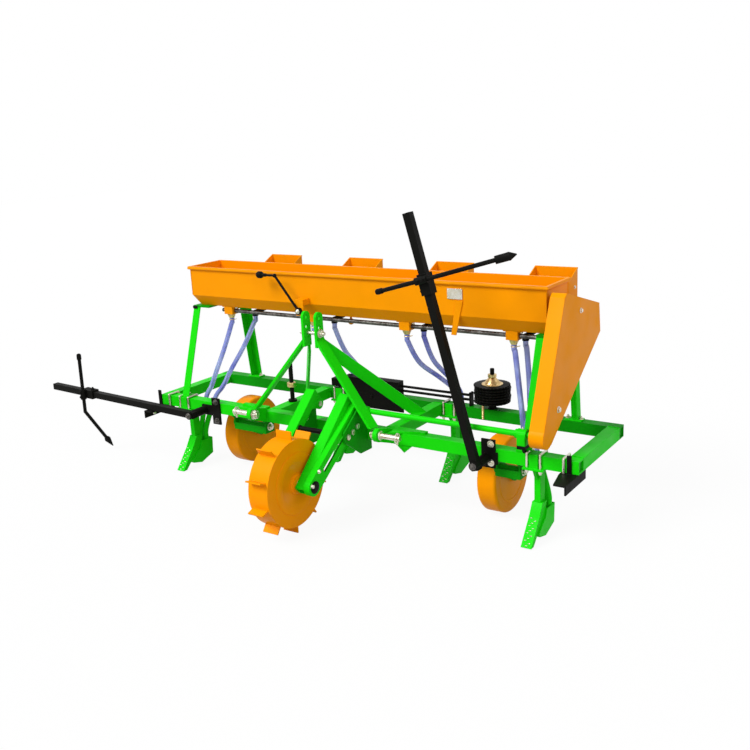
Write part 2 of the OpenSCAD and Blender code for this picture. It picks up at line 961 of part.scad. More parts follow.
module tine_shank(i) {
    difference() {
        translate([row_x[i], row_y[i], 0]) {
            block([-42, 42], [-half - clamp_t - 8, shank_y1 + 3], [low_z - base_t, low_z]);
            block([-clamp_w / 2, clamp_w / 2], [-half - clamp_t, -half], [low_z, top_z + 4]);
            block([-shank_w / 2, shank_w / 2], [shank_y0, shank_y1], [shank_low, low_z - base_t]);
            side_plate([[shank_y0, low_z - 60], [shank_y0, low_z - base_t], [-30, low_z - base_t]],
                -4, 4);
        }
        for (s = [-1, 1])
            u_leg(row_x[i] + s * u_step, row_y[i], u_r + run_fit);
    }
}

module tine_shanks() {
    color(green)
        for (i = [0:rows - 1])
            tine_shank(i);
}

// The share sits on the shank's foot and sweeps forward to its tip
module tine_shares() {
    outer = concat([[shank_y1, shank_low], [shank_y0, shank_low], [-26, 100], [-66, 50],
        [tip_y, tip_z], [tip_y + 24, tip_z]], share_back);
    color(green)
        for (i = [0:rows - 1])
            translate([row_x[i], row_y[i], 0])
                side_plate(outer, -share_w / 2, share_w / 2);
}

module tine_boots() {
    color(green)
        for (i = [0:rows - 1])
            translate([row_x[i], row_y[i], 0])
                difference() {
                    side_plate(concat([[-35, boot_low + 14]], share_back, [[boot_y1, boot_top],
                        [boot_y1 - 5, boot_low + 26], [20, boot_low]]), -boot_w / 2, boot_w / 2);
                    side_plate([[40, boot_top + 1], [28, 86], [-8, 60], [10, boot_low + 10],
                        [22, boot_low - 2], [boot_y1 - 8, boot_low - 2], [boot_y1 - 8, boot_low + 26],
                        [boot_y1 - sheet, boot_top + 1]], -boot_w / 2 + sheet, boot_w / 2 - sheet);
                }
}

module u_bolt(x, y) {
    reach_z = top_z + u_r + air;
    u_leg(x, y, u_r);
    rod_y(x, y - u_y, y + u_y, reach_z, u_r);
    for (s = [-1, 1]) {
        translate([x, y + s * u_y, reach_z])
            sphere(u_r);
        translate([x, y + s * u_y, low_z - base_t - 8])
            cylinder(h = 8, r = 8.5, $fn = 6);
    }
}

module u_bolts() {
    color(zinc) {
        for (i = [0:rows - 1])
            for (s = [-1, 1])
                u_bolt(row_x[i] + s * u_step, row_y[i]);
        for (x = [-rest_bolt_x, rest_bolt_x])
            u_bolt(x, 0);
    }
}

// Gauge wheels
module gauge_bracket(x) {
    for (end = [x[0], x[1] - strap_t])
        difference() {
            side_plate([[-15, low_z], [hang_y[0], low_z - 25], [hang_y[0], hang_low],
                [hang_y[1], hang_low], [hang_y[1], low_z - 30], [40, low_z]], end, end + strap_t);
            rod_x(end - 1, end + strap_t + 1, gauge_pivot[0], gauge_pivot[1], gauge_pin_r + run_fit);
        }
    block([x[0] + 1, x[1] - 1], [hang_y[0], hang_y[0] + strap_t], [hang_low, hang_low + hang_band]);
}

module gauge_brackets() {
    color(dark_green)
        for (x = hang)
            gauge_bracket(x);
    color(zinc)
        for (x = hang) {
            rod_x(x[0] - 8, x[1] + 10, gauge_pivot[0], gauge_pivot[1], gauge_pin_r);
            hex_x(x[1], x[1] + 8, gauge_pivot[0], gauge_pivot[1], 14);
        }
}

// The arm turns on the bracket's bolt and holds the axle at the right side of its wheel
module gauge_arm(wheel, x) {
    hub = [gauge_behind, gauge_r];
    plate = wheel + gauge_w / 2 + 8;
    color(dark_green)
        difference() {
            union() {
                rod_x(plate, x[0] - gap, gauge_pivot[0], gauge_pivot[1], gauge_pipe_r);
                rod_x(x[0] + strap_t + gap, x[1] - strap_t - gap, gauge_pivot[0], gauge_pivot[1],
                    gauge_pipe_r);
                stadium(gauge_pivot, hub, 25, plate, plate + gauge_arm_t);
                translate([x[0] + 2 * strap_t, 0, 0])
                    stadium(gauge_pivot, [150, 210], 12, 0, gauge_arm_t);
                translate([0, 150, 210])
                    rod_x(plate, x[0] + 2 * strap_t, 0, 0, 8);
            }
            rod_x(plate - 1, x[1] + 1, gauge_pivot[0], gauge_pivot[1], gauge_pin_r + run_fit);
            rod_x(plate - 40, plate + 40, hub[0], hub[1], 10 + run_fit);
        }
    color(zinc) {
        rod_x(wheel - gauge_w / 2 - 8, plate + 22, hub[0], hub[1], 10);
        hex_x(plate + gauge_arm_t, plate + gauge_arm_t + 10, hub[0], hub[1], 15);
    }
}

module gauge_wheel(wheel) {
    w = gauge_w / 2;
    round = 12;
    color(orange)
        translate([wheel, gauge_behind, gauge_r])
            rotate([0, 90, 0])
                rotate_extrude()
                    difference() {
                        union() {
                            translate([10 + run_fit, -w])
                                square([gauge_r - round - 10, 2 * w]);
                            translate([10 + run_fit, -w + round])
                                square([gauge_r - 10 - run_fit, 2 * (w - round)]);
                            for (s = [-1, 1])
                                translate([gauge_r - round, s * (w - round)])
                                    circle(round, $fn = 32);
                        }
                        translate([24, -w + 4])
                            square([gauge_r - 24 - round, 2 * w - 8]);
                        translate([0, -w + 14])
                            square([30, 2 * w - 28]);
                    }
}

module depth_spindle() {
    x = hitch_x - beam_x;
    color(black) {
        rod_z(x, 150, top_z, top_z + 195, 9);
        rod_z(x, 150, top_z, top_z + 10, 20);
    }
    color(brass)
        rod_z(x, 150, top_z + 72, top_z + 90, 17);
}

// Markers
module marker_bracket(i) {
    x = marker_pivot[i][0];
    z = marker_pivot[i][1];
    plate_x = [[x + 44, x + 91], [x - 22, x + 36]][i];
    color(black) {
        block(plate_x, [-half - 8, -half], [z - [64, 40][i], z + [62, 74][i]]);
        block([x - 20, x + 45], [-half - 8, -half], [z - 24, z + 24]);
        rod_y(x, marker_y + marker_bar / 2 + gap, -half - 8, z, 20);
        rod_y(x, marker_y - marker_bar / 2 - gap, -half - 8, z, bolt_pin_r);
        rod_y(x, marker_y - marker_bar / 2 - gap - 8, marker_y - marker_bar / 2 - gap, z, 18);
    }
    color(zinc)
        for (dz = [[-46, 44], [-19, 57]][i])
            hex_y(x + [70, 19][i], -half - 16, -half - 8, z + dz, 10);
}

module marker_brackets() {
    for (i = [0, 1])
        marker_bracket(i);
}

// Puts a marker that is drawn along +X with its rod down at its place on the machine
module place_marker(i) {
    translate([marker_pivot[i][0], marker_y, marker_pivot[i][1]])
        if (i == 0)
            mirror([1, 0, 0])
                rotate([0, -left_rise, 0])
                    children();
        else
            rotate([0, -90 - fold_lean, 0])
                children();
}

module marker_arm(i) {
    m = marker_bar / 2;
    color(black)
        place_marker(i)
            difference() {
                union() {
                    block([-marker_end, marker_len], [-m, m], [-m, m]);
                    rod_y(0, -m, m, 0, m + 3);
                }
                block([30, marker_len + 1], [-m + 3, m - 3], [-m + 3, m - 3]);
                rod_y(0, -m - 1, m + 1, 0, bolt_pin_r + run_fit);
            }
}

// The clamp slides on the arm and holds the bent rod in front of it
module marker_rod(i) {
    m = marker_bar / 2 + air;
    front = -m - 6 - rod_r;
    bend = [clamp_at, front, -rod_straight];
    tip = [clamp_at, front + rod_back, -rod_straight - rod_fall];
    end = tip + tip_len * (tip - bend) / norm(tip - bend);
    color(black)
        place_marker(i) {
            difference() {
                union() {
                    block([clamp_at - 58, clamp_at + 22], [-m - 6, m + 6], [-m - 6, m + 6]);
                    rod_z(clamp_at, front, -26, 26, rod_r + 6);
                }
                block([clamp_at - 59, clamp_at + 23], [-m, m], [-m, m]);
            }
            rod_z(clamp_at, front, -rod_straight, rod_up, rod_r);
            translate([clamp_at, front, rod_up])
                sphere(rod_r + 1);
            translate(bend)
                sphere(rod_r + 0.4);
            round_bar(bend, (tip + end) / 2, rod_r - 1);
            round_bar(bend, tip, rod_r);
            along(tip, end)
                cylinder(h = tip_len, r1 = 15, r2 = 2);
        }
}

module marker_rests() {
    front = marker_y - marker_bar / 2 - 10;
    color(black)
        for (side = [0, 1])
            mirror([1 - side, 0, 0])
                difference() {
                    union() {
                        translate([0, 0, low_z - rest_t])
                            linear_extrude(rest_t)
                                polygon([[end_x - rest_front_w, front], [end_x, front], [end_x, 45],
                                    [end_x - rest_w, 45], [end_x - rest_w, -45]]);
                        block([end_x - rest_t, end_x], [front, 45], [low_z - 36, low_z - rest_t]);
                        block([strap_x[side], strap_x[side] + strap_w], [-half - rest_t, -half],
                            [low_z - rest_t, top_z + 20]);
                        block([strap_x[side] - 2, strap_x[side] + strap_w], [-half - rest_t, 45],
                            [low_z - rest_t, low_z]);
                    }
                    u_leg(rest_bolt_x, 0, u_r + run_fit);
                }
}

// Footboard, spare plates and feed lever
module footboard() {
    y = frame_depth;
    color(black) {
        block([board_x0, board_x1], [y - 32, y + 12], [top_z, top_z + 72]);
        block([board_x0 + 74, board_x1 + 21], [y - half - 6, y - half], [bar_height - 45, top_z]);
        block([board_x0, board_x1], [y - half - 6, y - half], [bar_height + 5, top_z]);
        block([board_x0 - 81, board_x0], [y - 24, y + 12], [top_z + 13, top_z + 50]);
        for (dz = [26, 47])
            rod_x(board_x1, 390, y, top_z + dz, 6);
        block([385, 393], [y - 14, y + 14], [top_z, top_z + 56]);
    }
}

module spare_plates() {
    x = 492;
    y = frame_depth;
    color(black) {
        rod_z(x, y, top_z, top_z + 180, 9);
        rod_z(x, y, top_z, top_z + 32, 16);
        for (i = [0:spare_count - 1])
            rod_z(x, y, top_z + 32 + 12 * i, top_z + 39 + 12 * i, spare_r);
        rod_z(x, y, top_z + 32, top_z + 111, 58);
    }
    color(brass)
        translate([x, y, top_z + 110])
            cylinder(h = 32, r1 = 36, r2 = 14);
}

module feed_lever() {
    color(black) {
        rod_y(lever_x, lever_y - 15, lever_y + 6, lever_z, 6);
        rod_y(lever_x, lever_y - 15, lever_y - gap, lever_z, 15);
        round_bar([lever_x, lever_y - 8, lever_z], [lever_x - 120, lever_y - 8, lever_z + 150], 5.5);
        translate([lever_x - 120, lever_y - 8, lever_z + 150])
            sphere(9);
        rod_x(lever_x - 199, lever_x - 120, lever_y - 8, lever_z + 150, 5);
        translate([lever_x - 203, lever_y - 8, lever_z + 150])
            sphere(14);
    }
}

// Hoses
sides = 10;
path_z = [390, 355, 245, 145, 63, 5, -153, -225];
outer_x = [0, 0.04, 0.21, 0.38, 0.52, 0.68, 0.98, 1];
outer_fert = [0, 0.03, 0.34, 0.69, 0.96, 1.1, 1.05, 1];
outer_seed = [0, 0.03, 0.28, 0.6, 0.82, 0.95, 1, 1];
inner_x = [0, 0, 0.03, 0.2, 0.5, 0.85, 1, 1];
inner_y = [0, 0.02, 0.27, 0.7, 1, 1, 1, 1];

// The hose's centre line runs from the outlet at a to b over the boot, and goes the shares x
// and y of the way at the heights path_z
function route(a, b, x, y) = [for (i = [0:len(path_z) - 1])
    [a[0] + x[i] * (b[0] - a[0]), a[1] + y[i] * (b[1] - a[1]),
        i == 0 ? hose_top : i == len(path_z) - 1 ? boot_top - 18 : bar_height + path_z[i]]];
function boot_at(i, side) = [row_x[i] + side * tube_step, row_y[i] + tube_y];
function is_outer(i) = i == 0 || i == rows - 1;
function fert_route(i) = route([fert_x[i], fert_y], boot_at(i, -1),
    is_outer(i) ? outer_x : inner_x, is_outer(i) ? outer_fert : inner_y);
function seed_route(i) = route([box_x[i] + chute_x, chute_y], boot_at(i, 1),
    is_outer(i) ? outer_x : inner_x, is_outer(i) ? outer_seed : inner_y);
function tangent(p, i) = i == 0 || i == len(p) - 1 ? [0, 0, -120] : (p[i + 1] - p[i - 1]) / 2;
function bezier(a, b, c, d, t) = a * pow(1 - t, 3) + b * 3 * t * pow(1 - t, 2)
    + c * 3 * t * t * (1 - t) + d * pow(t, 3);
function curve(p, steps) = [for (i = [0:len(p) - 2]) for (k = [0:steps - 1])
    bezier(p[i], p[i] + tangent(p, i) / 3, p[i + 1] - tangent(p, i + 1) / 3, p[i + 1], k / steps),
    p[len(p) - 1]];
function ring(c, d) = let (a = [1, 0, 0] - d * d[0], u = a / norm(a), v = cross(d, u))
    [for (k = [0:sides - 1]) c + tube_r * (u * cos(k * 360 / sides) + v * sin(k * 360 / sides))];
function heading(p, i) = i == 0 || i == len(p) - 1 ? [0, 0, -1]
    : (p[i + 1] - p[i - 1]) / norm(p[i + 1] - p[i - 1]);

module hose(path) {
    line = curve(path, 3);
    last = len(line) - 1;
    rings = [for (i = [0:last]) for (q = ring(line[i], heading(line, i))) q];
    walls = [for (i = [0:last - 1]) for (k = [0:sides - 1])
        [i * sides + k, (i + 1) * sides + k, (i + 1) * sides + (k + 1) % sides,
            i * sides + (k + 1) % sides]];
    caps = [[for (k = [0:sides - 1]) k], [for (k = [sides - 1:-1:0]) last * sides + k]];
    polyhedron(rings, concat(walls, caps));
}

module hoses() {
    color(clear_blue)
        for (i = [0:rows - 1]) {
            hose(fert_route(i));
            hose(seed_route(i));
        }
}

module place() {
    translate(-origin)
        children();
}

place() front_bar();
place() rear_bar();
place() side_bars();
place() inner_beam(hitch_x - beam_x);  // inner_beam_left
place() inner_beam(hitch_x + beam_x);  // inner_beam_right
place() hitch_lugs();
place() hitch_gussets();
place() mast_plates();
place() mast_legs();
place() mast_braces();
place() mast_bolt();
place() lower_link_pins();
place() linch_pins();
place() hopper_posts();
place() hopper_bearers();
place() hopper();
place() hopper_fittings();
place() seed_boxes();
place() seed_meters();
place() fertiliser_meters();
place() fertiliser_funnels();
place() fertiliser_shaft();
place() seed_shaft();
place() seed_plate(box_x[0]);  // seed_plate_1
place() seed_plate(box_x[1]);  // seed_plate_2
place() seed_plate(box_x[2]);  // seed_plate_3
place() seed_plate(box_x[3]);  // seed_plate_4
place() cross_shaft();
place() shaft_bearing();
place() chain_guard();
place() upper_chain();
place() seed_chain();
place() drive_brackets();
place() bracket_bolts();
place() drive_arms();
place() arm_chain_guard();
place() arm_chain();
place() drive_wheel();
place() drive_axle();
place() tine_shanks();
place() tine_shares();
place() tine_boots();
place() u_bolts();
place() gauge_brackets();
place() gauge_arm(gauge_x[0], hang[0]);  // gauge_arm_left
place() gauge_arm(gauge_x[1], hang[1]);  // gauge_arm_right
place() gauge_wheel(gauge_x[0]);  // gauge_wheel_left
place() gauge_wheel(gauge_x[1]);  // gauge_wheel_right
place() depth_spindle();
place() marker_brackets();
place() marker_arm(0);  // marker_arm_left
place() marker_arm(1);  // marker_arm_right
place() marker_rod(0);  // marker_rod_left
place() marker_rod(1);  // marker_rod_right
place() marker_rests();
place() footboard();
place() spare_plates();
place() feed_lever();
place() hoses();
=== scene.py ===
"""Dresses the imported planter: paint, plating, hoses, chains, welds and fasteners."""

import json
import logging
import math
from dataclasses import dataclass
from enum import Enum
from typing import Callable, Sequence

import bmesh
import bpy
from mathutils import Matrix, Vector

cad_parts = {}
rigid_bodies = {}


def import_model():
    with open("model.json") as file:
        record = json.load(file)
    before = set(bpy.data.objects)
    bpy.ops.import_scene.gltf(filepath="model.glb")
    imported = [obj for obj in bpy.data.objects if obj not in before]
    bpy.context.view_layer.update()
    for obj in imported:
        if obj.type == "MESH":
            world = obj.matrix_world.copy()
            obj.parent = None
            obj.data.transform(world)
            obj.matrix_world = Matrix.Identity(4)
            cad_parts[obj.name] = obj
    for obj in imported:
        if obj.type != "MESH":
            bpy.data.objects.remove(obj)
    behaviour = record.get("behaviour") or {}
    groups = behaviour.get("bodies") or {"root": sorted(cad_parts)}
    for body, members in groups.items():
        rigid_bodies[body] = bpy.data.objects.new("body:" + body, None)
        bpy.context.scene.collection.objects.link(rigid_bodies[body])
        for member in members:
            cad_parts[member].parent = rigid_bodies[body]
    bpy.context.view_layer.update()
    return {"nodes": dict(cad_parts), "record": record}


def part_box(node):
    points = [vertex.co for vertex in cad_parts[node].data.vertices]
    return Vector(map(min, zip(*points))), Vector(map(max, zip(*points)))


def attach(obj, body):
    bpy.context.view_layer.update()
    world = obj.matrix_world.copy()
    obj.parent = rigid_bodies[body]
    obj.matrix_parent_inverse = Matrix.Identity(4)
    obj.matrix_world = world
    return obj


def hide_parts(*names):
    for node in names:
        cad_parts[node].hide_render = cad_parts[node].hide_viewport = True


log = logging.getLogger("planter")
logging.basicConfig(level=logging.INFO, format="%(message)s")

for leftover in list(bpy.data.objects):
    bpy.data.objects.remove(leftover)
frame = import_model()

BAR_LOW, BAR_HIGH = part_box("front_bar")
MIDDLE = (BAR_LOW + BAR_HIGH) / 2
MM = 0.001


def at(x: float, y: float, z: float) -> Vector:
    """Turns a place on the machine into a point of the frame.

    Args:
        x: Millimetres to the right of the middle of the front bar.
        y: Millimetres behind the front bar's axis.
        z: Millimetres over the floor.

    Returns:
        The point in metres.
    """
    return Vector((MIDDLE.x + x * MM, MIDDLE.y + y * MM, z * MM))


def chained(tree: bpy.types.NodeTree, kind: str, operation: str | None,
               *sources: object) -> bpy.types.Node:
    """Adds a node whose first inputs are linked or set in order.

    Args:
        tree: The node tree.
        kind: The node's type name.
        operation: The node's operation, if it has one.
        *sources: A socket is linked, a number is set as the value.

    Returns:
        The new node.
    """
    made = tree.nodes.new(kind)
    if operation:
        made.operation = operation
    for index, source in enumerate(sources):
        if isinstance(source, bpy.types.NodeSocket):
            tree.links.new(source, made.inputs[index])
        else:
            made.inputs[index].default_value = source
    return made


def aimed(start: Vector, towards: Vector) -> Matrix:
    """Returns the matrix that puts a piece modelled along +Z at a point, along a direction."""
    return Matrix.Translation(start) @ towards.to_track_quat("Z", "Y").to_matrix().to_4x4()


def ring(low: tuple[float, float, float], high: tuple[float, float, float]) -> list[Vector]:
    """Lists a rectangle's corners, with the height of each end of its depth.

    Args:
        low: Its left, front and front height, in the machine's millimetres.
        high: Its right, back and back height.

    Returns:
        The corners in metres, from the left front one round to the left back one.
    """
    (x0, y0, z0), (x1, y1, z1) = low, high
    return [at(x0, y0, z0), at(x1, y0, z0), at(x1, y1, z1), at(x0, y1, z1)]


class Coat(Enum):
    """The colours of the machine's paints as linear values, and a darker copy of the green that is painted
    shade.
    """

    GREEN = (0.010, 0.72, 0.004)
    # Painted shade: the green at about half its value, for parts that sit in shade.
    SHADED_GREEN = (0.004, 0.34, 0.004)
    ORANGE = (1.0, 0.335, 0.0)
    BLACK = (0.006, 0.006, 0.005)


class Facing(Enum):
    """Directions that fasteners and rods point in."""

    RIGHT = (1, 0, 0)
    LEFT = (-1, 0, 0)
    FRONT = (0, -1, 0)
    UP = (0, 0, 1)
    DOWN = (0, 0, -1)

    @property
    def vector(self) -> Vector:
        """The direction as a vector."""
        return Vector(self.value)


class Wiring:
    """A material's node tree, with the few steps that every finish takes."""

    MIX_INPUTS: tuple[int, int] = (6, 7)
    MIX_OUTPUT: int = 2

    def __init__(self, name: str) -> None:
        """Starts a material.

        Args:
            name: The material's name.
        """
        self.material = bpy.data.materials.new(name)
        self.material.use_nodes = True
        self.tree = self.material.node_tree
        self.shader = self.tree.nodes["Principled BSDF"]
        self.place = self.tree.nodes.new("ShaderNodeTexCoord").outputs["Object"]

    def node(self, kind: str, **inputs: object) -> bpy.types.Node:
        """Adds a node and sets or links its inputs.

        Args:
            kind: The node's type name.
            **inputs: Sockets by name with spaces written as underscores. A socket is
                linked, and anything else is set as the value.

        Returns:
            The new node.
        """
        made = self.tree.nodes.new(kind)
        for key, value in inputs.items():
            socket = made.inputs[key.replace("_", " ")]
            if isinstance(value, bpy.types.NodeSocket):
                self.tree.links.new(value, socket)
            else:
                socket.default_value = value
        return made

    def noise(self, scale: float, detail: float = 3.0) -> bpy.types.NodeSocket:
        """Returns a noise of a given scale in object space."""
        made = self.node("ShaderNodeTexNoise", Vector=self.place, Scale=scale, Detail=detail)
        return made.outputs["Fac"]

    def span(self, source: bpy.types.NodeSocket, low: float, high: float,
             start: float = 0.35, end: float = 0.65) -> bpy.types.NodeSocket:
        """Maps start..end of a source onto low..high.

        Args:
            source: The socket that is mapped.
            low: The result at start.
            high: The result at end.
            start: The lower value of the source.
            end: The upper value of the source.

        Returns:
            The mapped socket.
        """
        made = self.node("ShaderNodeMapRange", Value=source)
        for key, value in (("From Min", start), ("From Max", end), ("To Min", low), ("To Max", high)):
            made.inputs[key].default_value = value
        return made.outputs["Result"]

    def mix(self, share: bpy.types.NodeSocket, first: object, second: object) -> bpy.types.NodeSocket:
        """Mixes two colours.

        Args:
            share: How much of the second colour shows.
            first: A colour socket or linear colour.
            second: A colour socket or linear colour.

        Returns:
            The mixed colour's socket.
        """
        made = self.tree.nodes.new("ShaderNodeMix")
        made.data_type = "RGBA"
        self.tree.links.new(share, made.inputs["Factor"])
        for index, colour in zip(self.MIX_INPUTS, (first, second)):
            if isinstance(colour, bpy.types.NodeSocket):
                self.tree.links.new(colour, made.inputs[index])
            else:
                made.inputs[index].default_value = (*colour, 1.0)
        return made.outputs[self.MIX_OUTPUT]

    def feed(self, socket: str, source: bpy.types.NodeSocket) -> None:
        """Links a source to a socket of the shader."""
        self.tree.links.new(source, self.shader.inputs[socket])

    def edges(self, radius: float) -> tuple[bpy.types.NodeSocket, bpy.types.NodeSocket]:
        """Rounds edges in the shading, and finds them.

        Args:
            radius: The radius of the rounded edge in metres.

        Returns:
            The rounded normal, and a mask that is 1 along edges.
        """
        rounded = self.node("ShaderNodeBevel", Radius=radius)
        rounded.samples = 4
        true_normal = self.node("ShaderNodeNewGeometry").outputs["True Normal"]
        dot = chained(self.tree, "ShaderNodeVectorMath", "DOT_PRODUCT",
                         rounded.outputs["Normal"], true_normal)
        return rounded.outputs["Normal"], self.span(dot.outputs["Value"], 1.0, 0.0, 0.80, 0.995)

    def bump(self, height: bpy.types.NodeSocket, depth: float, strength: float = 1.0,
             normal: bpy.types.NodeSocket | None = None) -> bpy.types.NodeSocket:
        """Turns a height into a normal.

        Args:
            height: The height's socket.
            depth: The height in metres that a value of 1 stands for.
            strength: The strength of the bump.
            normal: A normal that the bump starts from.

        Returns:
            The bumped normal's socket.
        """
        made = self.node("ShaderNodeBump", Height=height, Strength=strength, Distance=depth)
        if normal is not None:
            self.tree.links.new(normal, made.inputs["Normal"])
        return made.outputs["Normal"]


@dataclass(frozen=True)
class Paint:
    """A sprayed coat with mottling, orange peel and pale, worn edges."""

    name: str
    coat: Coat
    roughness: float = 0.36
    edge_radius: float = 0.0025
    edge_lift: float = 1.12
    edge_grey: float = 0.012
    deep_share: float = 0.84
    sheen: float = 0.05

    def material(self) -> bpy.types.Material:
        """Builds the paint's material.

        Returns:
            The material.
        """
        wires = Wiring(self.name)
        base = self.coat.value
        deep = tuple(c * self.deep_share for c in base)
        pale = tuple(min(1.0, c * self.edge_lift + self.edge_grey) for c in base)
        normal, edge = wires.edges(self.edge_radius)
        mottled = wires.mix(wires.noise(6.0), base, deep)
        worn = chained(wires.tree, "ShaderNodeMath", "MULTIPLY",
                          edge, wires.span(wires.noise(34.0), 0.0, 0.8))
        wires.feed("Base Color", wires.mix(worn.outputs["Value"], mottled, pale))
        wires.feed("Roughness", wires.span(wires.noise(11.0), self.roughness - 0.06, self.roughness + 0.12))
        wires.feed("Normal", wires.bump(wires.noise(320.0, 1.0), 0.0002, 0.35, normal))
        wires.shader.inputs["Specular IOR Level"].default_value = self.sheen
        return wires.material


@dataclass(frozen=True)
class Metal:
    """A bare or plated metal with fine brushing and uneven tone."""

    name: str
    colour: tuple[float, float, float]
    tarnish: tuple[float, float, float]
    roughness: float

    def material(self) -> bpy.types.Material:
        """Builds the metal's material.

        Returns:
            The material.
        """
        wires = Wiring(self.name)
        normal, edge = wires.edges(0.0008)
        toned = wires.mix(wires.span(wires.noise(45.0), 0.0, 1.0), self.colour, self.tarnish)
        bright = tuple(min(1.0, c * 1.15) for c in self.colour)
        wires.feed("Base Color", wires.mix(edge, toned, bright))
        wires.feed("Roughness", wires.span(wires.noise(90.0), self.roughness - 0.08, self.roughness + 0.14))
        wires.feed("Normal", wires.bump(wires.noise(700.0, 2.0), 0.0001, 0.4, normal))
        wires.shader.inputs["Metallic"].default_value = 1.0
        return wires.material


@dataclass(frozen=True)
class ClearTube:
    """Clear soft plastic with a blue cast, a little clouded along its length."""

    name: str
    colour: tuple[float, float, float] = (0.20, 0.22, 0.72)
    cloud: tuple[float, float, float] = (0.50, 0.57, 0.94)

    def material(self) -> bpy.types.Material:
        """Builds the plastic's material.

        Returns:
            The material.
        """
        wires = Wiring(self.name)
        wires.feed("Base Color", wires.mix(wires.span(wires.noise(9.0), 0.0, 1.0), self.colour, self.cloud))
        wires.feed("Roughness", wires.span(wires.noise(60.0), 0.12, 0.22))
        wires.feed("Normal", wires.bump(wires.noise(14.0, 1.0), 0.0008, 0.2))
        wires.shader.inputs["Transmission Weight"].default_value = 0.5
        wires.shader.inputs["IOR"].default_value = 1.3
        return wires.material


class Finishes:
    """The machine's finishes, built once each, by the record's slot name."""

    def __init__(self) -> None:
        """Builds every material."""
        kinds = {
            "green_paint": Paint("green_paint", Coat.GREEN),
            # The dark green slot is painted shade: the green paint darkened.
            "dark_green_paint": Paint("dark_green_paint", Coat.SHADED_GREEN, 0.42),
            "orange_paint": Paint("orange_paint", Coat.ORANGE, 0.34),
            "black_paint": Paint("black_paint", Coat.BLACK, 0.44, edge_lift=2.6),
            "zinc": Metal("zinc", (0.72, 0.70, 0.62), (0.58, 0.54, 0.42), 0.30),
            "brass": Metal("brass", (0.82, 0.62, 0.30), (0.58, 0.40, 0.17), 0.36),
            "hose": ClearTube("hose"),
        }
        self.by_slot = {slot: kind.material() for slot, kind in kinds.items()}
        self.chain = Metal("chain_steel", (0.16, 0.15, 0.14), (0.06, 0.055, 0.05), 0.42).material()

    def dress(self, piece: bpy.types.Object, slot: str) -> None:
        """Gives a piece the finish of a slot.

        Args:
            piece: The piece that is finished.
            slot: The record's slot name.
        """
        piece.data.materials.clear()
        piece.data.materials.append(self.by_slot[slot])

    def dress_frame(self) -> None:
        """Gives every CAD node the finish of its slot in the record."""
        for row in frame["record"]["subparts"]:
            node = frame["nodes"][row["node"]]
            dark = row["node"] in ("fertiliser_shaft", "seed_shaft")
            for patch in node.material_slots:
                patch.material = self.chain if dark else self.by_slot[row["material_slot"]]


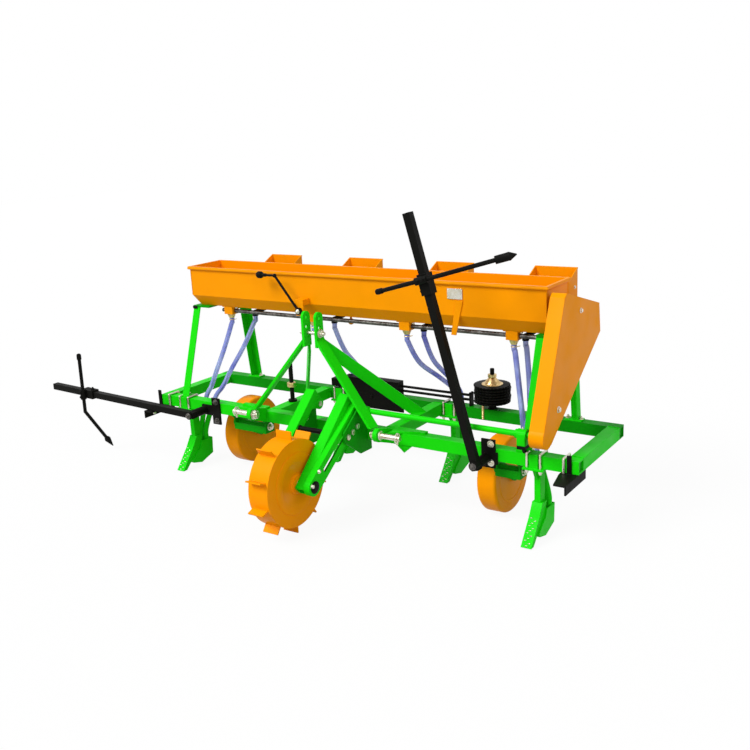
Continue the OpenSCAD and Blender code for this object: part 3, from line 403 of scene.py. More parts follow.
class Bench:
    """The modelling steps that the pieces are made with."""

    WASHER: float = 2.0
    NUT_TALL: float = 0.72
    CORE: float = 0.52
    MERGE: float = 0.00001

    @staticmethod
    def clear() -> None:
        """Leaves edit mode and deselects everything."""
        if bpy.context.mode != "OBJECT":
            bpy.ops.object.mode_set(mode="OBJECT")
        bpy.ops.object.select_all(action="DESELECT")

    @staticmethod
    def take(piece: bpy.types.Object) -> None:
        """Makes a piece the only selected one and the active one.

        Args:
            piece: The piece.
        """
        Bench.clear()
        piece.select_set(True)
        bpy.context.view_layer.objects.active = piece

    @staticmethod
    def pick(piece: bpy.types.Object, test: Callable[[Vector, Vector], bool]) -> None:
        """Selects faces in edit mode by their centre and normal.

        Args:
            piece: The piece in edit mode.
            test: Says of a face's centre and normal whether it is selected.
        """
        bpy.ops.mesh.select_mode(type="FACE")
        bpy.ops.mesh.select_all(action="DESELECT")
        shape = bmesh.from_edit_mesh(piece.data)
        for face in shape.faces:
            face.select_set(test(face.calc_center_median(), face.normal))
        bmesh.update_edit_mesh(piece.data)

    @staticmethod
    def open(name: str) -> bpy.types.Object:
        """Names the piece just added and opens it in edit mode, all selected.

        Args:
            name: The piece's name.

        Returns:
            The piece.
        """
        piece = bpy.context.object
        piece.name = name
        bpy.ops.object.mode_set(mode="EDIT")
        bpy.ops.mesh.select_all(action="SELECT")
        return piece

    @staticmethod
    def settle(piece: bpy.types.Object, angle: float = 35.0) -> bpy.types.Object:
        """Puts a piece's place into its mesh, turns its faces outwards and smooths it.

        Args:
            piece: The piece.
            angle: Edges sharper than this many degrees stay sharp.

        Returns:
            The piece.
        """
        Bench.take(piece)
        bpy.ops.object.transform_apply(location=True, rotation=True, scale=True)
        bpy.ops.object.mode_set(mode="EDIT")
        bpy.ops.mesh.select_all(action="SELECT")
        bpy.ops.mesh.remove_doubles(threshold=Bench.MERGE)
        bpy.ops.mesh.normals_make_consistent(inside=False)
        bpy.ops.object.mode_set(mode="OBJECT")
        bpy.ops.object.shade_smooth_by_angle(angle=math.radians(angle))
        return piece

    @staticmethod
    def block(name: str, low: Vector, high: Vector, bevel: float = 0.0015) -> bpy.types.Object:
        """Models a block with rounded edges between two corners.

        Args:
            name: The piece's name.
            low: The lowest corner.
            high: The highest corner.
            bevel: The radius of its edges in metres.

        Returns:
            The piece.
        """
        Bench.clear()
        centre = (low + high) / 2
        bpy.ops.mesh.primitive_cube_add(size=1, location=centre)
        piece = Bench.open(name)
        bpy.ops.transform.resize(value=high - low, center_override=centre)
        bpy.ops.mesh.bevel(offset=bevel, segments=2, affect="EDGES")
        return Bench.settle(piece)

    @staticmethod
    def turned(name: str, start: Vector, towards: Vector, steps: Sequence[tuple[float, float]],
               sides: int = 32, turn: float = 0.0) -> bpy.types.Object:
        """Models a turned or hexagonal piece by extruding and scaling from step to step.

        Args:
            name: The piece's name.
            start: The point on its axis that distances are measured from.
            towards: The direction of its axis.
            steps: Distance along the axis and radius, in millimetres, in order.
            sides: How many sides the section has.
            turn: Turns the section about its axis, in degrees.

        Returns:
            The piece.
        """
        Bench.clear()
        first, second = steps[0], steps[1]
        depth = (second[0] - first[0]) * MM
        bpy.ops.mesh.primitive_cylinder_add(vertices=sides, radius=first[1] * MM, depth=depth)
        piece = Bench.open(name)
        Bench.pick(piece, lambda c, n: n.z > 0.9)
        bpy.ops.transform.resize(value=(second[1] / first[1],) * 3, center_override=(0, 0, depth / 2))
        low = first[0] * MM + depth / 2
        for (z0, r0), (z1, r1) in zip(steps[1:], steps[2:]):
            bpy.ops.mesh.extrude_region_move(
                TRANSFORM_OT_translate={"value": (0, 0, (z1 - z0) * MM)})
            bpy.ops.transform.resize(value=(r1 / r0,) * 3, center_override=(0, 0, z1 * MM - low))
        bpy.ops.mesh.select_all(action="SELECT")
        bpy.ops.object.mode_set(mode="OBJECT")
        spin = Matrix.Rotation(math.radians(turn), 4, "Z")
        piece.matrix_world = aimed(start, towards) @ spin @ Matrix.Translation((0, 0, low))
        return Bench.settle(piece)

    @staticmethod
    def tube(name: str, points: Sequence[Vector], radius: float, sides: int = 4,
             closed: bool = False, smooth: bool = False) -> bpy.types.Object:
        """Sweeps a round section along points.

        Args:
            name: The piece's name.
            points: The centre line.
            radius: The section's radius in millimetres.
            sides: A fineness of 4 gives 12 sides.
            closed: Whether the line closes on itself.
            smooth: Whether the line curves through the points.

        Returns:
            The piece as a mesh.
        """
        line = bpy.data.curves.new(name, "CURVE")
        line.dimensions = "3D"
        line.bevel_depth = radius * MM
        line.bevel_resolution = sides
        line.use_fill_caps = not closed
        if smooth:
            run = line.splines.new("BEZIER")
            run.bezier_points.add(len(points) - 1)
            for knot, place in zip(run.bezier_points, points):
                knot.co = place
                knot.handle_left_type = knot.handle_right_type = "AUTO"
            line.resolution_u = 8
        else:
            run = line.splines.new("POLY")
            run.points.add(len(points) - 1)
            for knot, place in zip(run.points, points):
                knot.co = (*place, 1.0)
        run.use_cyclic_u = closed
        made = bpy.data.objects.new(name, line)
        bpy.context.scene.collection.objects.link(made)
        Bench.take(made)
        bpy.ops.object.convert(target="MESH")
        piece = bpy.context.object
        piece.name = name
        return Bench.settle(piece, 50.0)

    @staticmethod
    def copied(piece: bpy.types.Object, move: Matrix) -> bpy.types.Object:
        """Copies a piece, with its own mesh, moved by a matrix.

        Args:
            piece: The piece.
            move: What moves the copy's mesh.

        Returns:
            The copy.
        """
        made = piece.copy()
        made.data = piece.data.copy()
        made.data.transform(move)
        bpy.context.scene.collection.objects.link(made)
        return made

    @staticmethod
    def joined(name: str, pieces: Sequence[bpy.types.Object]) -> bpy.types.Object:
        """Joins pieces into the first one.

        Args:
            name: The joined piece's name.
            pieces: The pieces.

        Returns:
            The joined piece.
        """
        Bench.take(pieces[0])
        for piece in pieces:
            piece.select_set(True)
        if len(pieces) > 1:
            bpy.ops.object.join()
        pieces[0].name = name
        pieces[0].data.name = name
        return pieces[0]

    @staticmethod
    def bolt(start: Vector, towards: Vector, across: float, washer: bool = True,
             stub: float = 0.0) -> bpy.types.Object:
        """Models a hexagon bolt head or nut, with its washer and thread end.

        Args:
            start: The middle of the face that it sits on.
            towards: The direction that it stands out in.
            across: The radius of the hexagon in millimetres.
            washer: Whether it has a washer.
            stub: How far the bolt's end stands out of the nut, in millimetres.

        Returns:
            The piece.
        """
        lift = Bench.WASHER if washer else 0.0
        tall = across * Bench.NUT_TALL
        parts = [Bench.turned("nut", start, towards, [
            (lift - 0.2, across), (lift + tall * 0.8, across), (lift + tall, across * 0.86)], 6, 15.0)]
        if washer:
            parts.append(Bench.turned("washer", start, towards, [
                (-0.2, across * 1.28), (lift - 0.4, across * 1.28), (lift, across * 1.22)], 28))
        if stub:
            core = across * Bench.CORE
            parts.append(Bench.turned("stub", start, towards, [
                (0.0, core), (lift + tall + stub - 1, core), (lift + tall + stub, core * 0.75)], 16))
        return Bench.joined("bolt", parts)

    @staticmethod
    def toothed(name: str, centre: Vector, towards: Vector, thick: float, root: float,
                tip: float, teeth: int) -> bpy.types.Object:
        """Models a toothed disc by drawing every other face of its rim outwards.

        Args:
            name: The piece's name.
            centre: The middle of the disc.
            towards: The direction of its axis.
            thick: Its thickness in millimetres.
            root: The radius between the teeth.
            tip: The radius over the teeth.
            teeth: How many teeth it has.

        Returns:
            The piece.
        """
        Bench.clear()
        sides = teeth * 2
        bpy.ops.mesh.primitive_cylinder_add(vertices=sides, radius=root * MM, depth=thick * MM)
        piece = Bench.open(name)
        step = math.tau / sides

        def every_other(middle: Vector, normal: Vector) -> bool:
            """Says whether a rim face is one of the teeth's."""
            turn = math.atan2(middle.y, middle.x) / step
            return abs(normal.z) < 0.5 and math.floor(turn) % 2 == 0

        Bench.pick(piece, every_other)
        bpy.ops.mesh.extrude_region_move(TRANSFORM_OT_translate={"value": (0, 0, 0)})
        grow = tip / root
        bpy.ops.transform.resize(value=(grow, grow, 0.7), center_override=(0, 0, 0))
        bpy.ops.object.mode_set(mode="OBJECT")
        piece.matrix_world = aimed(centre, towards)
        return Bench.settle(piece)

    @staticmethod
    def weld(start: Vector, end: Vector, width: float) -> bpy.types.Object:
        """Lays a weld bead from one point to another as a row of overlapping drops.

        Args:
            start: Where the bead starts.
            end: Where it ends.
            width: Its width in millimetres.

        Returns:
            The piece.
        """
        run = end - start
        count = max(2, round(run.length / (width * 0.45 * MM)))
        Bench.clear()
        bpy.ops.mesh.primitive_uv_sphere_add(segments=8, ring_count=5, radius=width / 2 * MM)
        drop = bpy.context.object
        drop.scale = (0.9, 0.9, 0.62)
        bpy.ops.object.transform_apply(location=True, rotation=True, scale=True)
        row = drop.modifiers.new("row", "ARRAY")
        row.count = count
        row.use_relative_offset = False
        row.use_constant_offset = True
        row.constant_offset_displace = (0, 0, run.length / (count - 1))
        bpy.ops.object.modifier_apply(modifier="row")
        drop.matrix_world = aimed(start, run)
        Bench.take(drop)
        bpy.ops.object.transform_apply(location=True, rotation=True, scale=True)
        bpy.ops.object.shade_smooth()
        return drop


@dataclass
class Assembly:
    """What every sub-assembly shares: the finishes, and how a piece is handed over."""

    finishes: Finishes

    def hand_over(self, piece: bpy.types.Object, slot: str, body: str = "frame") -> bpy.types.Object:
        """Finishes a piece, lets it ride on its body and reports it.

        Args:
            piece: The piece.
            slot: The record's slot that it takes its finish from.
            body: The body that it moves with.

        Returns:
            The piece.
        """
        self.finishes.dress(piece, slot)
        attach(piece, body)
        log.info("%s: %d faces on %s", piece.name, len(piece.data.polygons), body)
        return piece

    def group(self, name: str, pieces: Sequence[bpy.types.Object], slot: str,
              body: str = "frame") -> bpy.types.Object:
        """Joins pieces and hands them over as one.

        Args:
            name: The joined piece's name.
            pieces: The pieces.
            slot: The record's slot that it takes its finish from.
            body: The body that it moves with.

        Returns:
            The joined piece.
        """
        return self.hand_over(Bench.joined(name, pieces), slot, body)

    def build(self) -> None:
        """Builds and dresses the sub-assembly's pieces."""
        raise NotImplementedError


@dataclass
class Studio:
    """The floor, the light and the camera."""

    place: tuple[float, float, float] = (2232.1, -3014.0, 1554.1)
    yaw: float = 34.283
    pitch: float = 15.030
    roll: float = 2.859
    lens: float = 44.31
    floor_reach: float = 40.0
    floor_tone: float = 0.45
    floor_glow: float = 1.06
    glow_share: float = 0.88
    sky: float = 0.44
    key: float = 2.7
    key_way: tuple[float, float, float] = (0.34, 0.62, -0.71)
    fill: float = 0.75
    fill_way: tuple[float, float, float] = (-0.80, 0.35, -0.45)

    def camera(self) -> None:
        """Sets up the camera at the photograph's angle."""
        lens = bpy.data.cameras.new("camera")
        lens.lens = self.lens
        lens.sensor_width = 36.0
        lens.clip_end = 100.0
        camera = bpy.data.objects.new("camera", lens)
        bpy.context.scene.collection.objects.link(camera)
        turn = Matrix.Rotation(math.radians(self.yaw), 4, "Z")
        turn = turn @ Matrix.Rotation(math.radians(90 - self.pitch), 4, "X")
        turn = turn @ Matrix.Rotation(math.radians(-self.roll), 4, "Z")
        camera.matrix_world = Matrix.Translation(at(*self.place)) @ turn
        bpy.context.scene.camera = camera

    def seen(self, tree: bpy.types.NodeTree) -> bpy.types.NodeSocket:
        """Returns a mask that is 1 for camera, glossy and transmission rays.

        Args:
            tree: The node tree that the mask is made in.

        Returns:
            The mask's socket.
        """
        rays = tree.nodes.new("ShaderNodeLightPath")
        mask = rays.outputs["Is Camera Ray"]
        for other in ("Is Glossy Ray", "Is Transmission Ray"):
            larger = chained(tree, "ShaderNodeMath", "MAXIMUM", mask, rays.outputs[other])
            mask = larger.outputs["Value"]
        return mask

    def floor(self) -> None:
        """Lays a plain white floor that keeps the machine's shadow."""
        Bench.clear()
        bpy.ops.mesh.primitive_plane_add(size=self.floor_reach, location=(0, 0, -0.001))
        floor = bpy.context.object
        floor.name = "floor"
        wires = Wiring("floor")
        wires.shader.inputs["Base Color"].default_value = (*(self.floor_tone,) * 3, 1)
        wires.shader.inputs["Roughness"].default_value = 0.9
        glow = wires.node("ShaderNodeEmission", Strength=self.floor_glow)
        share = chained(wires.tree, "ShaderNodeMath", "MULTIPLY",
                           self.seen(wires.tree), self.glow_share)
        blend = chained(wires.tree, "ShaderNodeMixShader", None, share.outputs["Value"],
                           wires.shader.outputs["BSDF"], glow.outputs["Emission"])
        surface = wires.tree.nodes["Material Output"].inputs["Surface"]
        wires.tree.links.new(blend.outputs["Shader"], surface)
        floor.data.materials.append(wires.material)

    def sun(self, name: str, strength: float, towards: Vector, spread: float) -> None:
        """Adds a wide lamp.

        Args:
            name: The lamp's name.
            strength: Its strength.
            towards: The direction that its light travels in.
            spread: Its width in the sky, in degrees.
        """
        lamp = bpy.data.lights.new(name, "SUN")
        lamp.energy = strength
        lamp.angle = math.radians(spread)
        holder = bpy.data.objects.new(name, lamp)
        holder.rotation_mode = "QUATERNION"
        holder.rotation_quaternion = towards.to_track_quat("-Z", "Y")
        bpy.context.scene.collection.objects.link(holder)

    def light(self) -> None:
        """Lights the machine at a plain level under a white sky."""
        world = bpy.data.worlds.new("sky")
        bpy.context.scene.world = world
        world.use_nodes = True
        tree = world.node_tree
        soft = tree.nodes["Background"]
        soft.inputs["Color"].default_value = (1, 1, 1, 1)
        soft.inputs["Strength"].default_value = self.sky
        white = tree.nodes.new("ShaderNodeBackground")
        white.inputs["Color"].default_value = (1, 1, 1, 1)
        blend = chained(tree, "ShaderNodeMixShader", None, self.seen(tree),
                           soft.outputs["Background"], white.outputs["Background"])
        tree.links.new(blend.outputs["Shader"], tree.nodes["World Output"].inputs["Surface"])
        self.sun("key", self.key, Vector(self.key_way), 30.0)
        self.sun("fill", self.fill, Vector(self.fill_way), 60.0)

    def build(self) -> None:
        """Sets the view, the camera, the floor and the light."""
        bpy.context.scene.view_settings.view_transform = "Standard"
        self.camera()
        self.floor()
        self.light()


@dataclass
class FrameWork(Assembly):
    """The tube frame's weld beads and end plates, and the posts' feet, pads, bolts and cap."""

    end_x: float = 1065.0
    half: float = 25.0
    depth: float = 432.0
    low: float = 300.0
    top: float = 350.0
    beams: tuple[float, ...] = (-390.5, 230.5)
    pads: tuple[float, float] = (-910.0, 837.0)
    posts: tuple[float, float] = (-850.0, 866.0)
    pad: float = 11.0
    foot: tuple[float, float, float] = (36.0, 23.0, 6.0)
    sunk: float = 0.3
    cap: tuple[tuple[float, float, float], ...] = ((-932, 110, 757), (-906, 126, 771))

    def joint(self, x: float, y: float) -> list[bpy.types.Object]:
        """Welds the end of a tube that runs to the rear against a cross bar.

        Args:
            x: The tube's axis.
            y: The face of the cross bar that the tube meets.

        Returns:
            The beads.
        """
        left, right = x - self.half, x + self.half
        beads = [Bench.weld(at(left + 4, y, self.top), at(right - 4, y, self.top), 7)]
        for side in (left, right):
            if abs(side) < self.end_x - 1:
                beads.append(Bench.weld(at(side, y, self.low + 3), at(side, y, self.top - 3), 7))
        return beads

    def build(self) -> None:
        """Builds the beads, the end plates and the posts' feet."""
        beads = []
        for x in (-self.end_x + self.half, *self.beams, self.end_x - self.half):
            beads += self.joint(x, self.half)
            beads += self.joint(x, self.depth - self.half)
        self.group("frame_welds", beads, "green_paint")
        plates = []
        for x in (-self.end_x + 6, self.end_x - 9):
            for y in (0.0, self.depth):
                plates.append(Bench.block("plate", at(x, y - 20, self.low + 5),
                                          at(x + 3, y + 20, self.top - 5)))
        # The end plates sit inside the tube ends in the dark green: painted shade of the hollow ends.
        self.group("bar_end_plates", plates, "dark_green_paint")
        feet = []
        bolts = []
        wide, deep, thick = self.foot
        pad_top = self.top + self.pad - 2
        for x, pad in zip(self.posts, self.pads):
            feet.append(Bench.block("foot", at(x - wide, self.depth - deep, self.top - self.sunk),
                                    at(x + wide, self.depth + deep, self.top + thick)))
            feet.append(Bench.block("pad", at(pad - 24, -19, self.top - self.sunk),
                                    at(pad + 18, 24, pad_top)))
            for side in (-1, 1):
                bolts.append(Bench.bolt(at(x + side * 28, self.depth, self.top + thick),
                                        Facing.UP.vector, 8, stub=6))
            bolts.append(Bench.bolt(at(pad - 9, 15, pad_top), Facing.UP.vector, 7, stub=4))
        cap = Bench.block("post_cap", at(*self.cap[0]), at(*self.cap[1]), 0.002)
        self.hand_over(cap, "black_paint")
        self.group("post_feet", feet, "green_paint")
        self.group("post_bolts", bolts, "zinc")


@dataclass
class Hitch(Assembly):
    """The hitch's fasteners and welds."""

    middle: float = -80.0
    lug_x: float = 341.5
    lug_t: float = 20.0
    pin_y: float = -110.0
    pin_z: float = 360.0
    mast_y: float = -65.0
    mast_in: float = 27.0
    mast_out: float = 39.0
    bolt_z: float = 744.0
    lug_weld_y: float = -25.0
    lug_weld_z: tuple[float, float] = (302.0, 362.0)
    mast_weld_z: float = 724.0

    def build(self) -> None:
        """Builds the nuts and beads."""
        nuts = []
        beads = []
        for side, inward in ((-1, Facing.RIGHT), (1, Facing.LEFT)):
            face = self.middle + side * (self.lug_x - self.lug_t)
            shoulder = self.middle + side * self.lug_x
            nuts.append(Bench.turned("nut", at(face, self.pin_y, self.pin_z), inward.vector, [
                (-0.1, 25), (3, 25), (3.2, 19.6), (15.5, 19.6), (17.5, 16.6)], 6, 15))
            outward = Vector((side, 0, 0))
            nuts.append(Bench.turned("shoulder", at(shoulder, self.pin_y, self.pin_z), outward, [
                (0, 19), (5, 19), (7, 17), (7.1, 12), (9, 11.4)], 40))
            for x in (face, shoulder):
                low, high = (at(x, self.lug_weld_y, z) for z in self.lug_weld_z)
                beads.append(Bench.weld(low, high, 8))
            for x in (self.mast_in, self.mast_out):
                foot = self.middle + side * x
                front, back = (at(foot, self.mast_y + y, self.mast_weld_z) for y in (-20, 20))
                beads.append(Bench.weld(front, back, 5))
        self.group("link_pin_nuts", nuts, "zinc")
        self.group("hitch_welds", beads, "green_paint")
        heads = []
        for side, outward in ((-1, Facing.LEFT), (1, Facing.RIGHT)):
            start = at(self.middle + side * self.mast_out, self.mast_y, self.bolt_z)
            heads.append(Bench.bolt(start, outward.vector, 14.6, stub=8))
        self.group("mast_bolt_ends", heads, "zinc")


@dataclass
class Hopper(Assembly):
    """The trough's hems, the boxes' hems, the blank label and the small fittings."""

    x0: float = -924.5
    x1: float = 880.5
    y0: float = 112.0
    y1: float = 317.0
    rim: float = 960.0
    fold: float = 823.0
    floor: float = 773.0
    lip: float = 9.0
    box_x: tuple[float, ...] = (-629.5, -164.5, 300.5, 765.5)
    box_w: float = 182.0
    box_y: tuple[float, float] = (326.0, 476.0)
    box_front: float = 900.0
    box_back: float = 972.0
    outlet_x: tuple[float, ...] = (-739.5, -252.5, 234.5, 721.5)
    outlet_y: float = 168.0
    label_x: tuple[float, float] = (464.0, 531.0)
    label_z: tuple[float, float] = (66.0, 108.0)
    label_edge: float = 5.0

    def hem(self, name: str, corners: Sequence[Vector], radius: float) -> bpy.types.Object:
        """Rolls a round hem along a closed line."""
        return Bench.tube(name, corners, radius, 3, closed=True)

    def build(self) -> None:
        """Builds the hems, seams, label and fittings."""
        edge = self.lip - 3
        z = self.rim - 8
        rim = ring((self.x0 - edge, self.y0 - edge, z), (self.x1 + edge, self.y1 + edge, z))
        self.hand_over(self.hem("hopper_hem", rim, 6.5), "orange_paint")
        hems = []
        tabs = []
        for x in self.box_x:
            left, right = x - self.box_w / 2 + 1, x + self.box_w / 2 - 1
            front, back = self.box_y[0] + 1, self.box_y[1] - 1
            corners = ring((left, front, self.box_front), (right, back, self.box_back))
            hems.append(self.hem("box_hem", corners, 3.6))
            for side in (left, right):
                tabs.append(Bench.bolt(at(side, back - 30, self.box_front), Vector((side - x, 0, 0)), 5.5))
        self.group("seed_box_hems", hems, "orange_paint")
        self.group("seed_box_bolts", tabs, "zinc")
        seams = []
        for x in (self.x0, self.x1):
            for y in (self.y0, self.y1):
                seams.append(Bench.weld(at(x, y, self.fold + 2), at(x, y, self.rim - 16), 5))
        self.group("hopper_seams", seams, "orange_paint")
        self.label()
        self.outlets()

    def label(self) -> None:
        """Builds the bare label plate with its rivets."""
        front = self.y0 - 2
        left, right = self.label_x
        low, high = (self.fold + z for z in self.label_z)
        plate = Bench.block("label_plate", at(left, front - 1.6, low), at(right, front + 1, high), 0.0006)
        edge = self.label_edge
        rivets = [Bench.turned("rivet", at(x, front - 1.4, z), Facing.FRONT.vector,
                               [(0, 2.6), (1.2, 2.4), (1.9, 1.2)], 12)
                  for x in (left + edge, right - edge) for z in (low + edge, high - edge)]
        self.group("label_plate", [plate, *rivets], "zinc")

    def outlets(self) -> None:
        """Builds the folded flanges over the fertiliser outlets, with their bolts."""
        flanges = []
        bolts = []
        for x in self.outlet_x:
            y = self.outlet_y
            low = self.floor - 5
            flanges.append(Bench.block("flange", at(x - 38, y - 20, low),
                                       at(x + 38, y + 24, self.floor), 0.001))
            for side in (-1, 1):
                bolts.append(Bench.bolt(at(x + side * 32, y, low), Facing.DOWN.vector, 6, stub=3))
        self.group("outlet_flanges", flanges, "orange_paint")
        self.group("outlet_bolts", bolts, "zinc")


@dataclass
class Hoses(Assembly):
    """The eight clear hoses, their clips and the green pipes that they end in."""

    radius: float = 11.0
    heights: tuple[float, ...] = (715, 680, 570, 470, 388, 330, 172, 100)
    outlets: tuple[float, ...] = (-739.5, -252.5, 234.5, 721.5)
    outlet_y: float = 168.0
    chutes: tuple[float, ...] = (-659.5, -194.5, 270.5, 735.5)
    chute_y: float = 245.0
    boots: tuple[tuple[float, float], ...] = ((-910, 80), (-310, 512), (290, 512), (890, 80))
    apart: float = 12.5
    outer_x: tuple[float, ...] = (0, 0.04, 0.21, 0.38, 0.52, 0.68, 0.98, 1)
    outer_fert: tuple[float, ...] = (0, 0.03, 0.34, 0.69, 0.96, 1.1, 1.05, 1)
    outer_seed: tuple[float, ...] = (0, 0.03, 0.28, 0.6, 0.82, 0.95, 1, 1)
    inner_x: tuple[float, ...] = (0, 0, 0.03, 0.2, 0.5, 0.85, 1, 1)
    inner_y: tuple[float, ...] = (0, 0.02, 0.27, 0.7, 1, 1, 1, 1)
    steps: int = 8
    pipe_top: float = 296.0
    clip_r: float = 12.0

    def knots(self, row: int, seed: bool) -> list[Vector]:
        """Lists the chosen points of one hose.

        Args:
            row: The planter's row, from the left.
            seed: Whether it is the seed hose and not the fertiliser hose.

        Returns:
            The points from the outlet down to the boot.
        """
        start = (self.chutes[row], self.chute_y) if seed else (self.outlets[row], self.outlet_y)
        end = (self.boots[row][0] + (self.apart if seed else -self.apart), self.boots[row][1])
        outer = row in (0, 3)
        across = self.outer_x if outer else self.inner_x
        back = (self.outer_seed if seed else self.outer_fert) if outer else self.inner_y
        return [Vector((start[0] + x * (end[0] - start[0]), start[1] + y * (end[1] - start[1]), z))
                for x, y, z in zip(across, back, self.heights)]

    def route(self, knots: Sequence[Vector]) -> list[Vector]:
        """Draws the smooth centre line of a hose through its chosen points.

        Args:
            knots: The chosen points, from the outlet down.

        Returns:
            The points of the line, with some between each two chosen ones.
        """
        last = len(knots) - 1
        ways = [Vector((0, 0, -120)) if i in (0, last) else (knots[i + 1] - knots[i - 1]) / 2
                for i in range(last + 1)]
        line = []
        for i in range(last):
            a, d = knots[i], knots[i + 1]
            b, c = a + ways[i] / 3, d - ways[i + 1] / 3
            for k in range(self.steps):
                t = k / self.steps
                s = 1 - t
                line.append(a * s ** 3 + b * 3 * t * s ** 2 + c * 3 * t * t * s + d * t ** 3)
        line.append(knots[last])
        return line

    def build(self) -> None:
        """Builds the hoses, clips and pipes."""
        hoses = []
        pipes = []
        clips = []
        for row in range(len(self.boots)):
            for seed in (False, True):
                line = self.route(self.knots(row, seed))
                hoses.append(Bench.tube("hose", [at(*point) for point in line], self.radius, 4))
                low = [at(*point) for point in line if point.z < self.pipe_top]
                pipes.append(Bench.tube("pipe", low, self.radius + 1.6, 5))
            x, y, z = self.knots(row, False)[0]
            round_hose = [at(x + self.clip_r * math.cos(a), y + self.clip_r * math.sin(a), z - 8)
                          for a in (i * math.tau / 20 for i in range(20))]
            clips.append(Bench.tube("clip", round_hose, 1.4, 1, closed=True))
            clips.append(Bench.tube("ear", [at(x + 11, y - 3, z - 8), at(x + 24, y - 7, z - 5),
                                            at(x + 24, y + 4, z - 5), at(x + 11, y + 3, z - 8)], 1.4, 1))
        hose = self.group("clear_hoses", hoses, "hose")
        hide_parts("hoses")
        self.group("drop_pipes", pipes, "green_paint")
        self.group("hose_clips", clips, "brass")


@dataclass
class Tines(Assembly):
    """The tines' welds, the hard spots on their shares and the boots' rims."""

    rows: tuple[tuple[float, float], ...] = ((-910, 0), (-310, 432), (290, 432), (890, 0))
    low: float = 300.0
    share_top: float = 150.0
    shank_half: float = 12.5
    clamp_half: float = 18.0
    spot_count: int = 12
    rim_z: float = 117.0

    def build(self) -> None:
        """Builds the beads on shanks and clamps, the spots and the rims."""
        beads = []
        rims = []
        spots = []
        for x, y in self.rows:
            for side in (-1, 1):
                shank, clamp = x + side * self.shank_half, x + side * self.clamp_half
                seat = self.low - 9
                runs = (((shank, y + 7, seat), (shank, y + 43, seat), 6),
                        ((shank, y + 7, self.share_top), (shank, y + 42, self.share_top), 6),
                        ((clamp, y - 29, self.low + 2), (clamp, y - 29, self.low + 46), 5))
                beads += [Bench.weld(at(*start), at(*end), wide) for start, end, wide in runs]
            for k in range(self.spot_count):
                t = k / (self.spot_count - 1)
                spot = at(x - 13 + 9 * (k * 2 % 3), y - 29 - 68 * t, 97 - 84 * t)
                spots.append(Bench.weld(spot, spot + Vector((0.006, 0, 0)), 5))
            rim = ring((x - 26, y + 34, self.rim_z), (x + 26, y + 103, self.rim_z))
            rims.append(Bench.tube("rim", rim, 2.6, 2, closed=True))
        self.group("tine_welds", beads, "green_paint")
        self.group("share_spots", spots, "zinc")
        self.group("boot_rims", rims, "green_paint")


